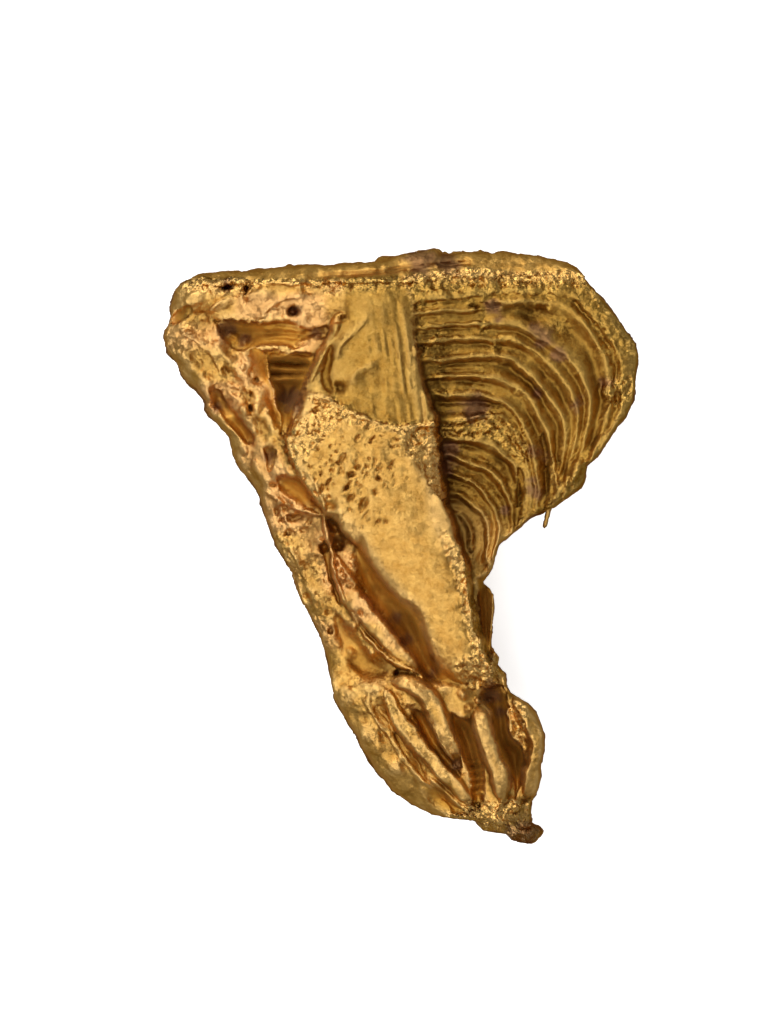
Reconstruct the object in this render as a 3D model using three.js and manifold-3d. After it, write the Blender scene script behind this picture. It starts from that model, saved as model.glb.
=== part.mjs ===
// A native gold specimen, grown as one skeletal crystal: a flat keel and blade down the middle, a hoppered
// face with nested terraces on its right, a spongy wall with a deep pocket on its left, and a ribbed leg
// that ends in a curl. It lies on its back. +X is its right, +Y its broad end, +Z the face that looks up.
// The origin is at the centre of its underside. Units are millimetres.
//
// Places on it are [across, down], measured on the face from the upper left corner of its outline.

import * as THREE from 'three';
import { mergeVertices } from 'three/addons/utils/BufferGeometryUtils.js';
import { SimplifyModifier } from 'three/addons/modifiers/SimplifyModifier.js';
import Module from 'manifold-3d';

const WIDTH = 24.1;
const LENGTH = 30;
const TOP = 1.5; // how far down the corners of the broad end lie
const TIP = [18.45, 29.9]; // where the leg ends
const LIP_REACH = 3; // how far down the shape of the broad end's two edges is felt
const GRID = { across: 220, down: 270, deep: 44, crowded: 0.45 }; // cells of the form, crowded at the rim
const FACETS = 9600; // triangles that are kept of it

// The outline, as [down, across].
const LEFT_EDGE = [
  [TOP, 1.5], [1.75, 1.0], [2.15, 0.7], [2.95, 0.43], [3.3, 0.5], [3.65, 0.45], [4.05, 0.18], [4.45, 0.1],
  [4.95, 0.2], [5.4, 0.4], [5.8, 0.8], [6.3, 1.0], [7.15, 1.75], [7.75, 2.23], [8.05, 2.2], [8.45, 2.4],
  [8.9, 2.85], [9.5, 3.4], [10.4, 3.6], [11, 3.9], [11.8, 4.55], [12.35, 4.9], [13.6, 5.25], [14.25, 5.45],
  [14.95, 5.8], [16.2, 6.5], [17.45, 6.9], [18.65, 7.55], [19.6, 8], [20.3, 8.25], [21.25, 8.43],
  [22.6, 8.65], [23.9, 9.4], [24.5, 9.85], [25, 10], [26.25, 10.8], [26.6, 11.15], [27.25, 11.6],
  [27.95, 12.6], [28.5, 13.85], [28.65, 15.1], [28.75, 15.75], [29, 15.95], [29.25, 16.25], [29.38, 17.3],
  [29.7, 17.6], [29.8, 18.1], TIP.toReversed(),
];
const RIGHT_EDGE = [
  [TOP, 21.25], [1.8, 21.5], [2.35, 22], [2.95, 22.5], [3.6, 23], [4.3, 23.5], [4.8, 23.85], [5.4, 24],
  [6.25, 23.85], [6.75, 23.8], [7.25, 23.85], [7.7, 23.75], [8.45, 23.35], [9, 22.9], [10, 22.25],
  [10.5, 21.9], [10.9, 21.4], [11.65, 21.3], [12, 21.1], [12.3, 20.7], [12.65, 20.25], [13.15, 19.65],
  [13.25, 18.9], [13.5, 18.5], [13.9, 18.15], [14.65, 17.25], [14.9, 17], [15.4, 16.85], [16.05, 16.65],
  [16.35, 16.45], [16.75, 16.2], [17, 16.5], [17.35, 16.75], [17.95, 16.75], [19.25, 16.65], [19.95, 16.65],
  [20.5, 17], [20.9, 16.9], [21.35, 17.35], [22, 17.4], [22.3, 17.6], [22.8, 18.45], [23.3, 18.9],
  [23.85, 19.1], [24.4, 19.3], [24.9, 19.3], [26, 19.1], [26.45, 19.15], [27.4, 18.85], [27.8, 18.65],
  [28.85, 18.6], [29.05, 19.05], [29.3, 19.2], [29.75, 18.85], TIP.toReversed(),
];

// The broad end: its front lip and its back edge, as [across, down].
const LIP = [
  [1.5, TOP], [3, 1.62], [9.25, 1.65], [12, 1.5], [14, 1.25], [15.5, 1.05], [17, 1.2], [20.6, 1.15],
  [21.25, TOP],
];
const BACK_EDGE = [
  [1.5, TOP], [1.9, 1.35], [3, 1.2], [5, 1.1], [7, 0.95], [9, 0.88], [10.75, 0.8], [11.25, 0.65], [12, 0.45],
  [13.2, 0.15], [13.7, 0.1], [14.1, 0.35], [15.75, 0.33], [17.15, 0.23], [19, 0.48], [20.35, 0.75],
  [20.85, 1], [21.25, TOP],
];

// The keel and the blade below it, as [down, across], and the foot of the keel's panel, as [across, down].
const KEEL_LEFT = [
  [1.65, 9.25], [3.6, 9.25], [3.9, 8.75], [4.75, 8.4], [5.6, 7.9], [6.5, 7.5], [7.5, 7.15], [8.75, 6.75],
  [9.6, 6.25], [10.25, 6.3], [11.5, 6.9], [12.75, 7.8], [14, 8.9], [15, 9.9], [16.5, 10.9], [17.5, 11.7],
  [18.5, 12.6], [19.5, 13.1], [20.5, 13.6], [21.75, 14], [24, 14.6],
];
const KEEL_RIGHT = [
  [1.25, 12.1], [3.25, 12.5], [4.5, 12.65], [5.5, 12.8], [6.5, 13], [7.25, 13.2], [8.1, 13.5], [8.75, 13.7],
  [9.5, 13.8], [11, 14], [12.5, 14.15], [13, 14.25], [14, 14.6], [15.5, 15.15], [16.5, 15.35], [18, 15.5],
  [19, 15.7], [20, 16.1], [21, 16.5], [21.75, 16.7], [24, 16.9],
];
const PANEL_FOOT = [
  [7, 7], [8.5, 7.5], [9.25, 8.1], [10, 8.35], [11, 8.75], [11.75, 9], [12.5, 9], [13.7, 8.75],
];

// Where the top of the blade starts to fall towards the hoppered face, as [down, across].
const BLADE_SHOULDER = [
  [8.9, 13.4], [9.3, 12.2], [10.1, 12.3], [10.9, 12.9], [11.9, 13.5], [12.75, 14.1], [13, 14.4],
];

// Heights above the surface that it rests on, as [down, height].
const KEEL_TOP = [
  [1, 9.9], [3, 9.95], [5, 10], [9, 9.95], [12.5, 9.75], [15, 9.4], [18, 8.8], [20, 8.3], [21.5, 7.7],
  [24, 7],
];
const LEFT_SHOULDER = [
  [1, 7.6], [5, 7.3], [8, 7.1], [12, 6.6], [16, 6.1], [20, 5.6], [24, 5.2], [28, 4.6], [30, 3.9],
];
const LEFT_OF_KEEL = [[1, 9.95], [3, 9.9], [4.2, 9.4], [10, 8.9], [13, 8.6], [18, 7.6], [22, 6.9]];
const LEG_TOP = [[20, 7.8], [22, 7.4], [24, 7], [26, 6.4], [28, 5.6], [29, 5], [30, 4.2]];
const LEFT_RIM_Z = [[1, 4.8], [8, 4.4], [14, 4], [22, 3.7], [29, 3.3]];
const RIGHT_RIM_Z = [[1, 6.3], [6, 5.9], [10, 5.2], [13, 4.5], [17, 4.2], [24, 3.7], [29, 3.3]];
const LEG_STARTS = [20.8, 22.2]; // where the blade has passed into the leg

// The keel is a little domed. The blade falls away on its left and past its shoulder, and the panel is
// sunk.
const KEEL = { dome: 0.35, leftFall: 0.35, shoulderFall: 0.8, panelSunk: 0.22, aboveHopper: 0.5 };
const LEG_DOME = 1.2;

// The hoppered face: nested crests from the outermost to the innermost, with how far each lies below the
// slanted plane of the face, and how deep the groove behind it is.
const HOPPER = {
  corner: [12.5, 3.2], top: 9.75, fallRight: 0.12, fallDown: 0.08, rimFall: 0.15, riser: 0.6,
};
const CRESTS = [
  { drop: -0.05, groove: 0.2, line: [
    [11, 2.7], [13.5, 2.68], [16, 2.42], [18, 2.3], [19.6, 2.25], [20.8, 2.6], [21.9, 3.7], [22.8, 5.1],
    [23.1, 6.3], [22.9, 8.2], [22, 10.3],
  ] },
  { drop: 0, groove: 0.25, line: [
    [11, 3.45], [13.9, 3.28], [15.5, 3.05], [17.25, 2.82], [19, 2.75], [19.9, 2.8], [20.6, 3.2],
    [21.2, 3.85], [21.7, 4.65], [22.15, 5.55], [22.4, 6.8], [22.3, 8.4], [21.6, 10.6],
  ] },
  { drop: 0.13, groove: 0.3, line: [
    [11, 4.12], [13, 4.08], [14.75, 3.9], [16.6, 3.8], [17.9, 3.95], [18.8, 4.45], [19.6, 4.9], [20.3, 5.5],
    [20.9, 6.3], [21.3, 7.2], [21.4, 8.2], [21.2, 9.4], [20.7, 11.6],
  ] },
  { drop: 0.28, groove: 0.3, line: [
    [11, 4.88], [13, 4.82], [14.75, 4.62], [17.2, 4.55], [18.1, 4.85], [18.9, 5.35], [19.5, 5.9],
    [20.1, 6.6], [20.55, 7.4], [20.8, 8.2], [20.75, 9.2], [20.2, 12.2],
  ] },
  { drop: 0.45, groove: 0.3, line: [
    [11, 5.75], [13.25, 5.7], [14.75, 5.47], [17.2, 5.48], [18, 5.95], [18.6, 6.45], [19.2, 7.1],
    [19.75, 7.9], [20.1, 8.65], [20.2, 9.6], [20.1, 10.8], [19.7, 12.6],
  ] },
  { drop: 0.65, groove: 0.32, line: [
    [11, 6.6], [14, 6.5], [16.3, 6.4], [17.4, 6.75], [18.2, 7.35], [18.8, 8.1], [19.3, 9], [19.55, 10.2],
    [19.55, 11.6], [19.3, 13.1],
  ] },
  { drop: 0.84, groove: 0.5, line: [
    [11, 7.45], [13.75, 7.38], [16, 7.38], [16.9, 7.62], [17.6, 8.15], [18.1, 8.85], [18.5, 9.75],
    [18.75, 10.8], [18.85, 12.2], [18.6, 13.8],
  ] },
  { drop: 0.98, groove: 0.05, line: [
    [11, 8.75], [13.75, 8.65], [15.3, 8.6], [16.3, 8.4], [16.9, 8.42], [17.45, 8.85], [17.95, 9.6],
    [18.35, 10.5], [18.5, 11.6], [18.45, 12.8], [18.1, 14],
  ] },
  { drop: 1.1, groove: 0.5, line: [
    [11, 9.6], [13.9, 9.58], [15.75, 9.65], [16.6, 9.92], [17.3, 10.5], [17.85, 11.3], [18.1, 12.1],
    [18.1, 13.2], [17.8, 14.4],
  ] },
  { drop: 1.4, groove: 0.45, line: [
    [12, 10.5], [14.3, 10.45], [15.4, 10.7], [16.4, 11.2], [17.1, 11.8], [17.5, 12.6], [17.6, 13.5],
    [17.4, 15],
  ] },
  { drop: 1.55, groove: 0.35, line: [
    [12, 11.35], [14.3, 11.3], [15.2, 11.5], [15.9, 12], [16.5, 12.7], [16.85, 13.5], [16.95, 14.3],
    [16.7, 15.5],
  ] },
  { drop: 1.7, groove: 0.35, line: [
    [12, 12.3], [14.3, 12.3], [15.2, 12.5], [15.8, 12.95], [16.2, 13.5], [16.4, 14.2], [16.4, 15.5],
  ] },
  { drop: 1.85, groove: 0.2, line: [[12, 13.2], [14.6, 13.25], [15.2, 13.5], [15.6, 14.2], [15.65, 15]] },
];

// Ribs with a level top that stand up from the face: half is half a width.
const PLATES = [
  { half: 0.62, height: 0.75, line: [
    [8.6, 15.4], [9.2, 16.6], [9.9, 17.8], [10.9, 19], [11.9, 20.1], [12.9, 21.2],
  ] },
  { half: 0.6, height: 0.8, line: [
    [11.5, 21.75], [12.6, 21.8], [13.4, 22.5], [14, 23.6], [14.45, 24.6], [14.9, 25.6],
  ] },
  { half: 0.5, height: 0.6, line: [
    [11.3, 22.1], [11.9, 23.4], [12.9, 24.8], [13.9, 25.9], [14.9, 27], [15.8, 28.2],
  ] },
  { half: 0.62, height: 1.3, line: [[15.8, 22.9], [16.15, 24], [16.6, 25.2], [17, 26.3], [17.05, 27.6]] },
  { half: 0.8, height: 0.9, line: [[17.7, 22.4], [18.5, 23.4], [19, 24.7], [18.9, 26], [18.4, 27.5]] },
];

// Ribs that rise to a crest.
const RIDGES = [
  { half: 0.3, height: 0.45, line: [
    [9.3, 3.3], [8.75, 3.75], [8.4, 4.75], [7.9, 5.6], [7, 7.6], [6.75, 8.4], [6.15, 9.7],
  ] },
  { half: 0.45, height: 0.4, line: [
    [1.2, 5.2], [1.7, 6], [2.3, 6.9], [2.75, 8], [3.75, 9.5], [4.3, 10.3],
  ] },
  { half: 0.5, height: 0.45, line: [[2.6, 4.6], [3.3, 5.5], [4, 6.2], [4.5, 7], [5.2, 8.2], [5.8, 9.3]] },
  { half: 0.4, height: 0.35, line: [[4.6, 10.6], [5.3, 11.7], [6, 12.9], [6.6, 14]] },
  { half: 0.24, height: 0.5, line: [
    [7.5, 11.3], [8.1, 12.6], [8.3, 13.75], [8.7, 16.1], [9.1, 17.3], [9.7, 18.5], [10.5, 19.6],
    [12.1, 20.95], [13.25, 21.6],
  ] },
  { half: 0.2, height: 0.3, line: [[11.7, 24.2], [12.2, 25], [12.8, 25.9], [13.5, 26.75]] },
  { half: 0.8, height: 0.35, line: [[9.2, 21.8], [10, 23.6], [11.2, 25.6], [12.6, 27.2]] },
  { half: 0.3, height: 0.35, line: [[16.9, 27.75], [17.5, 27.6], [18.1, 27.9]] },
  { half: 0.2, height: 0.4, line: [[19.6, 10.4], [19.75, 11.2], [19.7, 12.2]] },
  { half: 0.45, height: 0.4, line: [[19.5, 12.75], [20.25, 11.9], [21, 11], [22, 10.1], [22.6, 9]] },
  { half: 0.25, height: 0.3, line: [[13.5, 26.5], [14.5, 27.5], [15.5, 28.4], [16, 29]] },
];

// Growth ledges: how far the slope reaches on the left of the line as one walks along it, and how far on
// its right.
const LEDGES = [
  { reach: [0.7, 0.14], height: 0.25, line: [[7.5, 7.45], [8.9, 7.85], [10, 8.5], [12, 9], [13.4, 8.95]] },
  { reach: [0.16, 0.6], height: 0.2, line: [[9.5, 6.8], [9.8, 6.2], [10.3, 5.9], [10.9, 5.7]] },
  { reach: [0.8, 0.1], height: 0.22, line: [
    [2.7, 3.5], [5.45, 3.75], [6.45, 3.6], [7.45, 4.1], [8.3, 3.85],
  ] },
  { reach: [0.12, 0.5], height: 0.25, line: [[2.3, 3.3], [3.1, 2.7], [4.2, 2.45], [5, 2.1]] },
  { reach: [0.5, 0.14], height: 0.25, line: [[1, 4.2], [1.9, 4.6], [2.6, 5.4], [3, 6.3]] },
  { reach: [0.5, 0.14], height: 0.25, line: [[5.9, 14.3], [6.6, 15.3], [7.2, 16.4], [7.6, 17.6]] },
  { reach: [0.5, 0.14], height: 0.25, line: [[10.2, 22.6], [11, 23.8], [11.9, 25.2], [12.9, 26.6]] },
];

// What is cut into the face: an outline, its depth, and how far in from the outline the full depth is
// reached.
const HOLLOWS = [
  { depth: 0.9, bank: 0.3, outline: [
    [2.7, 3.55], [5, 3.75], [6.4, 3.7], [7.5, 4.1], [8.3, 3.95], [8.4, 4.6], [7.6, 4.7], [6.9, 5.1],
    [6.3, 4.85], [5.1, 5], [4.1, 5.2], [3.4, 4.9], [2.9, 4.3],
  ] },
  { depth: 2.2, bank: 0.6, outline: [
    [5.1, 5.15], [5.4, 6.3], [5.75, 7.6], [6, 8.7], [6.1, 9.6], [6.3, 9.5], [6.6, 8.6], [6.95, 7.6],
    [7.3, 6.7], [7.75, 5.5], [7.2, 5.2], [6.4, 5.3], [5.6, 5.1],
  ] },
  { depth: 1, bank: 0.3, outline: [
    [5.15, 10.1], [5.4, 9.95], [5.8, 10.1], [5.75, 10.6], [5.65, 11.1], [5.4, 11.2], [5.3, 10.7],
  ] },
  { depth: 0.9, bank: 0.45, outline: [
    [5.75, 11.5], [6.3, 11.35], [6.9, 11.5], [7.4, 12.1], [7.75, 13], [7.2, 12.95], [6.3, 12.4],
  ] },
  { depth: 1.4, bank: 0.8, outline: [
    [9.55, 15.2], [9.8, 14.65], [10.25, 14.5], [10.5, 15.4], [11.25, 16.5], [12.1, 17.4], [13, 18.1],
    [13.4, 19.2], [13.8, 20.4], [14.5, 21.2], [15.3, 21.9], [14.2, 22], [13.3, 21.5], [12.9, 21],
    [12.1, 20], [11.25, 18.8], [10.3, 17.6], [9.75, 16.4],
  ] },
  { depth: 0.5, bank: 0.5, outline: [
    [8.6, 18.3], [9.1, 18.4], [9.8, 19.3], [10.6, 20.3], [11.4, 21.1], [11, 21.6], [10, 21.4], [9.2, 20.7],
    [8.7, 19.6],
  ] },
  { depth: 0.8, bank: 0.35, outline: [
    [12.5, 23.1], [13.1, 23.1], [13.5, 23.6], [13.9, 24.25], [14.1, 24.9], [14.5, 25.5], [15, 26.1],
    [14.9, 26.5], [14.25, 25.9], [13.5, 24.9], [12.9, 24],
  ] },
  { depth: 0.5, bank: 0.4, outline: [
    [12.9, 26.7], [13.7, 26.9], [14.5, 27.7], [15.2, 28.5], [14.2, 28.35], [13.4, 27.7],
  ] },
  { depth: 1.6, bank: 0.5, outline: [
    [14.5, 23.2], [15, 23.4], [15.55, 23.6], [15.9, 24.75], [16.15, 25.75], [16.3, 27], [16.2, 27.75],
    [15.9, 28], [15.6, 27.5], [15.5, 26.5], [15.3, 25.8], [15.05, 25.2], [14.75, 24.4],
  ] },
  { depth: 1.3, bank: 0.4, outline: [
    [15.95, 22.5], [16.2, 22.1], [17.1, 21.9], [17.35, 22.4], [17.35, 23.2], [16.6, 23.2],
  ] },
  { depth: 1.7, bank: 0.45, outline: [
    [16.5, 23], [17.3, 23.1], [17.5, 24.25], [18, 24.9], [18.25, 25.5], [18.1, 26.5], [17.9, 27.25],
    [17.72, 27.5], [17.7, 26.75], [17.4, 26.1], [17.05, 25.4], [16.75, 24.5],
  ] },
  { depth: 1.2, bank: 0.3, outline: [[15.95, 16.6], [16.6, 16.6], [16.6, 20], [16.3, 20], [15.95, 18.5]] },
];

// Grooves cut along a line.
const GROOVES = [
  { half: 0.36, depth: 0.6, line: [[2.6, 7], [3.1, 7.8], [3.6, 8.5], [4.2, 9.3], [4.6, 9.9]] },
  { half: 0.26, depth: 0.4, line: [[8.65, 4.9], [8.4, 6], [8.35, 6.6], [8.6, 7.3]] },
  { half: 0.22, depth: 0.6, line: [[8.2, 14.4], [8.45, 15.8], [8.75, 17], [9.1, 17.9]] },
  { half: 0.18, depth: 0.5, line: [[15.4, 2.95], [16.3, 2.9], [17.1, 2.88]] },
  { half: 0.22, depth: 0.5, line: [[19.15, 9.2], [19.35, 10.4], [19.3, 12.4]] },
  { half: 0.22, depth: 0.6, line: [[17.9, 10.9], [18.05, 11.8], [18.05, 12.9]] },
  { half: 0.3, depth: 0.6, line: [[0.6, 3.8], [1.1, 3.4], [1.7, 3.05]] },
];

// Round lumps, and pits where the height is below nothing.
const BOSSES = [
  { at: [1.6, 2.6], radius: 0.9, height: 0.6 },
  { at: [1.3, 4.9], radius: 0.8, height: 0.4 },
  { at: [3.35, 1.95], radius: 0.3, height: -0.8 },
  { at: [6.65, 3.25], radius: 0.32, height: -0.7 },
  { at: [4.55, 8], radius: 0.28, height: -0.5 },
  { at: [2.85, 7.85], radius: 0.28, height: -0.5 },
  { at: [9, 7], radius: 0.36, height: -0.5 },
  { at: [10.4, 6.7], radius: 0.8, height: -0.25 },
  { at: [6.5, 13.3], radius: 0.4, height: -0.5 },
  { at: [8.65, 11.1], radius: 0.3, height: -0.25 },
  { at: [9.7, 11.4], radius: 0.3, height: -0.3 },
  { at: [10.15, 12.85], radius: 0.35, height: -0.35 },
  { at: [9.65, 18.9], radius: 0.25, height: 0.35 },
  { at: [9.5, 20.25], radius: 0.3, height: 0.35 },
  { at: [15.1, 22.3], radius: 0.35, height: 0.5 },
  { at: [16.6, 21.6], radius: 0.4, height: 0.4 },
  { at: [17.15, 28.35], radius: 1.1, height: 0.6 },
  { at: [18.5, 29.3], radius: 0.55, height: 0.9 },
  { at: [17.8, 29.4], radius: 0.4, height: 0.5 },
  { at: [22.6, 7], radius: 0.5, height: 0.4 },
];

// The underside: a belly with growth steps, ribs and grooves, worn flat in a small spot that it rests on.
const BELLY = { lowest: [12.05, 10.3], worn: 0.12, rise: 0.02, rim: 6, topRim: 1.4, topZ: 1.9, leg: 1.3 };
const BACK_STEPS = { first: 3.6, apart: 1.5, step: 0.34, count: 8 };
const BACK_RIBS = [
  { half: 0.9, height: 0.6, line: [[12.6, 15], [13.8, 19], [15.8, 24], [17.9, 28.6]] },
  { half: 0.7, height: 0.5, line: [[8.6, 13], [10, 17], [11.4, 21.5], [13, 25.5]] },
  { half: 0.7, height: 0.5, line: [[15.6, 11], [18.2, 9.4], [21.4, 8.4]] },
  { half: 0.7, height: 0.45, line: [[8.4, 8.6], [5.6, 6.8], [3, 4.8]] },
];
const BACK_GROOVES = [
  { half: 0.5, depth: 0.9, line: [[10.6, 15.5], [12, 19.5], [13.8, 24], [15.6, 27.4]] },
  { half: 0.5, depth: 0.7, line: [[15.2, 8.6], [17.6, 6.4], [20, 3.8]] },
  { half: 0.45, depth: 0.6, line: [[9.6, 7.6], [8.4, 5], [7.6, 2.8]] },
];

// Round the rim the face turns down steeply, and the belly turns up.
const FACE_RIM = { left: 0.5, right: 0.4 };
const LUMPS = {
  size: 2.6, wall: 0.22, keel: 0.05, back: 0.24, small: 1.1, smallWall: 0.13, rim: 0.35, end: 0.18,
};
const END_SLOPE = 0.13; // share of the broad end's height over which it slants out to its back edge
const SPIKE = { at: [19.4, 13.1], length: 1.9, radius: 0.22, z: 4.6 };

const clamp = THREE.MathUtils.clamp;
const smooth = THREE.MathUtils.smoothstep;
const mix = THREE.MathUtils.lerp;

// The value at x on a line through [x, value] points.
function along(points, x) {
  const i = clamp(points.findIndex(([at]) => at > x), 1, points.length - 1) || points.length - 1;
  const [[x0, y0], [x1, y1]] = x >= points.at(-1)[0] ? points.slice(-2) : points.slice(i - 1, i + 1);
  return mix(y0, y1, clamp((x - x0) / (x1 - x0), 0, 1));
}

// A smooth line through [across, down] points, or a straight one, with the box that it lies in.
function lineOf(points, steps = 3) {
  const corners = points.map(([a, d]) => new THREE.Vector2(a, d));
  const line = steps > 1 ? new THREE.SplineCurve(corners).getPoints(steps * (points.length - 1)) : corners;
  return { line, box: new THREE.Box2().setFromPoints(line) };
}

const outlineOf = (points) => lineOf([...points, points[0]]);
const place = new THREE.Vector2();

// How far [across, down] is from a line, how far along that line the nearest place is, from 0 to 1, and
// the side: 1 on the right of the line as one walks along it. Places further away than within are left at
// that distance.
function nearest({ line, box }, a, d, within = Infinity) {
  const best = { distance: within, share: 0, side: 1 };
  if (box.distanceToPoint(place.set(a, d)) >= within) return best;
  for (let i = 1; i < line.length; i++) {
    const [from, to] = [line[i - 1], line[i]];
    const [ua, ud] = [to.x - from.x, to.y - from.y];
    const t = clamp(((a - from.x) * ua + (d - from.y) * ud) / (ua * ua + ud * ud), 0, 1);
    const distance = Math.hypot(a - from.x - t * ua, d - from.y - t * ud);
    if (distance < best.distance) {
      best.distance = distance;
      best.share = (i - 1 + t) / (line.length - 1);
      best.side = Math.sign(ua * (d - from.y) - ud * (a - from.x)) || 1;
    }
  }
  return best;
}

// How far [across, down] lies inside a closed line, and less than nothing outside it.
function depthInside(outline, a, d) {
  let inside = false;
  for (let i = 1; i < outline.line.length; i++) {
    const [from, to] = [outline.line[i - 1], outline.line[i]];
    if (from.y > d !== to.y > d) {
      const crossing = ((to.x - from.x) * (d - from.y)) / (to.y - from.y) + from.x;
      inside = a < crossing ? !inside : inside;
    }
  }
  return nearest(outline, a, d, 1).distance * (inside ? 1 : -1);
}

// 1 in the middle of a line, falling to 0.15 at its ends on a quarter of a circle each.
function taper(share) {
  const out = Math.max(1 - 4 * Math.min(share, 1 - share), 0);
  return Math.max(Math.sqrt(Math.max(1 - out * out, 0)), 0.15);
}

// Smooth, uneven lumps of about the given size, between -1 and 1: waves laid over each other in many
// directions.
function unevenness(x, y, z, size) {
  const [waves, turnEach, shorter, shift] = [7, 2.4, 0.13, 1.7];
  let sum = 0;
  for (let k = 0; k < waves; k++) {
    const tilt = Math.acos(1 - (2 * k + 1) / waves);
    const flat = x * Math.cos(turnEach * k) + y * Math.sin(turnEach * k);
    const reach = flat * Math.sin(tilt) + z * Math.cos(tilt);
    sum += Math.sin((2 * Math.PI * (1 + shorter * k) * reach) / size + shift * k * k);
  }
  return sum / Math.sqrt(waves * 2);
}

const swapped = (points) => points.map(([d, a]) => [a, d]);
const EDGE_LINES = [lineOf(swapped(LEFT_EDGE), 1), lineOf(swapped(RIGHT_EDGE), 1)];
const rimDistance = (a, d) => Math.min(...EDGE_LINES.map((line) => nearest(line, a, d).distance));
const withLines = (shapes) => shapes.map(({ line, ...rest }) => ({ ...rest, line: lineOf(line) }));
const [crests, plates, ridges, ledges, grooves, backRibs, backGrooves] = [
  CRESTS, PLATES, RIDGES, LEDGES, GROOVES, BACK_RIBS, BACK_GROOVES,
].map(withLines);
const hollows = HOLLOWS.map(({ outline, ...rest }) => ({ ...rest, outline: outlineOf(outline) }));

// A quarter round: 0 at the rim, 1 from the given distance inwards.
function quarterRound(distance, radius) {
  const out = 1 - clamp(distance / radius, 0, 1);
  return Math.sqrt(1 - out * out);
}

// Breaks a rise from 0 to 1 into level treads and steep risers.
const ledged = (share, count) => share - 0.9 * Math.sin(2 * Math.PI * count * share) / (2 * Math.PI * count);

// The lumps of the spongy wall die out towards the hoppered face.
const wallLumps = (a, keelLeft) => 1 - 0.7 * smooth(a - keelLeft, 0, 4);

// The hoppered face: a slanted plane. Between two crests it drops behind the outer one and rises to the
// inner one.
function hopperHeight(a, d) {
  let z = HOPPER.top - HOPPER.fallRight * (a - HOPPER.corner[0]) - HOPPER.fallDown * (d - HOPPER.corner[1]);
  const inside = crests.map(({ line }) => {
    const { distance, side } = nearest(line, a, d);
    return distance * side;
  });
  const k = inside.findLastIndex((reach) => reach > 0);
  if (k < 0) return z - crests[0].drop - HOPPER.rimFall * smooth(-inside[0], 0, 0.8);
  const gap = k + 1 < crests.length ? Math.max(-inside[k + 1], 0) : 1;
  const share = inside[k] / Math.max(inside[k] + gap, 1e-6);
  const next = crests[Math.min(k + 1, crests.length - 1)];
  z -= mix(crests[k].drop, next.drop, smooth(share, 0, HOPPER.riser));
  return z - crests[k].groove * Math.sin(Math.PI * share ** 0.7);
}

// The face before ribs and hollows: wall, keel and hoppered face side by side, which pass into the leg.
function bareFace(a, d) {
  const [left, right] = [along(LEFT_EDGE, d), along(RIGHT_EDGE, d)];
  const [keelLeft, keelRight] = [along(KEEL_LEFT, d), along(KEEL_RIGHT, d)];
  const wallShare = clamp((a - left) / (keelLeft - left), 0, 1);
  const wall = mix(along(LEFT_SHOULDER, d), along(LEFT_OF_KEEL, d), Math.sqrt(wallShare));
  const keelShare = clamp((a - keelLeft) / (keelRight - keelLeft), 0, 1);
  let keel = along(KEEL_TOP, d) + KEEL.dome * Math.sin(Math.PI * keelShare ** 0.8);
  keel -= KEEL.leftFall * (1 - keelShare) * smooth(d, 12, 16);
  const hopper = Math.min(hopperHeight(a, d), keel - KEEL.aboveHopper);
  const shoulder = along(BLADE_SHOULDER, d);
  if (d > BLADE_SHOULDER[0][0] && d < BLADE_SHOULDER.at(-1)[0]) {
    keel -= KEEL.shoulderFall * clamp((a - shoulder) / (keelRight - shoulder + 0.2), 0, 1);
  }
  keel -= KEEL.panelSunk * smooth(along(PANEL_FOOT, a) - d, -0.05, 0.08) * smooth(d, 3, 8);
  let z = mix(wall, keel, smooth(a - keelLeft, -0.15, 0.25));
  z = mix(z, hopper, ledged(smooth(a - keelRight, -0.1, 0.4), 3));

  const spread = Math.abs(a - (left + right) / 2) / Math.max(0.5 * (right - left), 0.1);
  const leg = along(LEG_TOP, d) - LEG_DOME * spread * spread;
  return mix(z, leg, smooth(d, ...LEG_STARTS));
}

function faceHeight(a, d) {
  let z = bareFace(a, d);
  for (const { line, half, height } of plates) {
    const { distance, share } = nearest(line, a, d, half);
    z += height * taper(share) * (1 - smooth(distance / (half * taper(share)), 0.45, 1));
  }
  for (const { line, half, height } of ridges) {
    const { distance, share } = nearest(line, a, d, half);
    z += height * taper(share) * (1 - clamp(distance / (half * taper(share)), 0, 1) ** 2) ** 1.5;
  }
  for (const { line, reach, height } of ledges) {
    const { distance, share, side } = nearest(line, a, d, 1);
    z += height * taper(share) * (1 - smooth(distance / reach[side < 0 ? 0 : 1], 0, 1));
  }
  let cut = 0;
  for (const { outline, depth, bank } of hollows) {
    cut = Math.max(cut, depth * smooth(depthInside(outline, a, d), -0.04, bank));
  }
  for (const { line, half, depth } of grooves) {
    const { distance, share } = nearest(line, a, d, half);
    cut = Math.max(cut, depth * taper(share) * (1 - clamp(distance / (half * taper(share)), 0, 1) ** 3));
  }
  z -= cut;
  for (const { at, radius, height } of BOSSES) {
    const distance = Math.hypot(a - at[0], d - at[1]) / radius;
    z += height * Math.exp(-1.5 * distance * distance);
  }
  const [keelLeft, keelRight] = [along(KEEL_LEFT, d), along(KEEL_RIGHT, d)];
  const onKeel = smooth(a - keelLeft, -0.15, 0.15) * (1 - smooth(a - keelRight, -0.08, 0.16));
  const onWall = wallLumps(a, keelLeft) * (1 - onKeel);
  z += mix(LUMPS.wall * wallLumps(a, keelLeft), LUMPS.keel, onKeel) * unevenness(a, d, 0, LUMPS.size);
  return z + LUMPS.smallWall * onWall * unevenness(a, d, 5, LUMPS.small);
}

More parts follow.
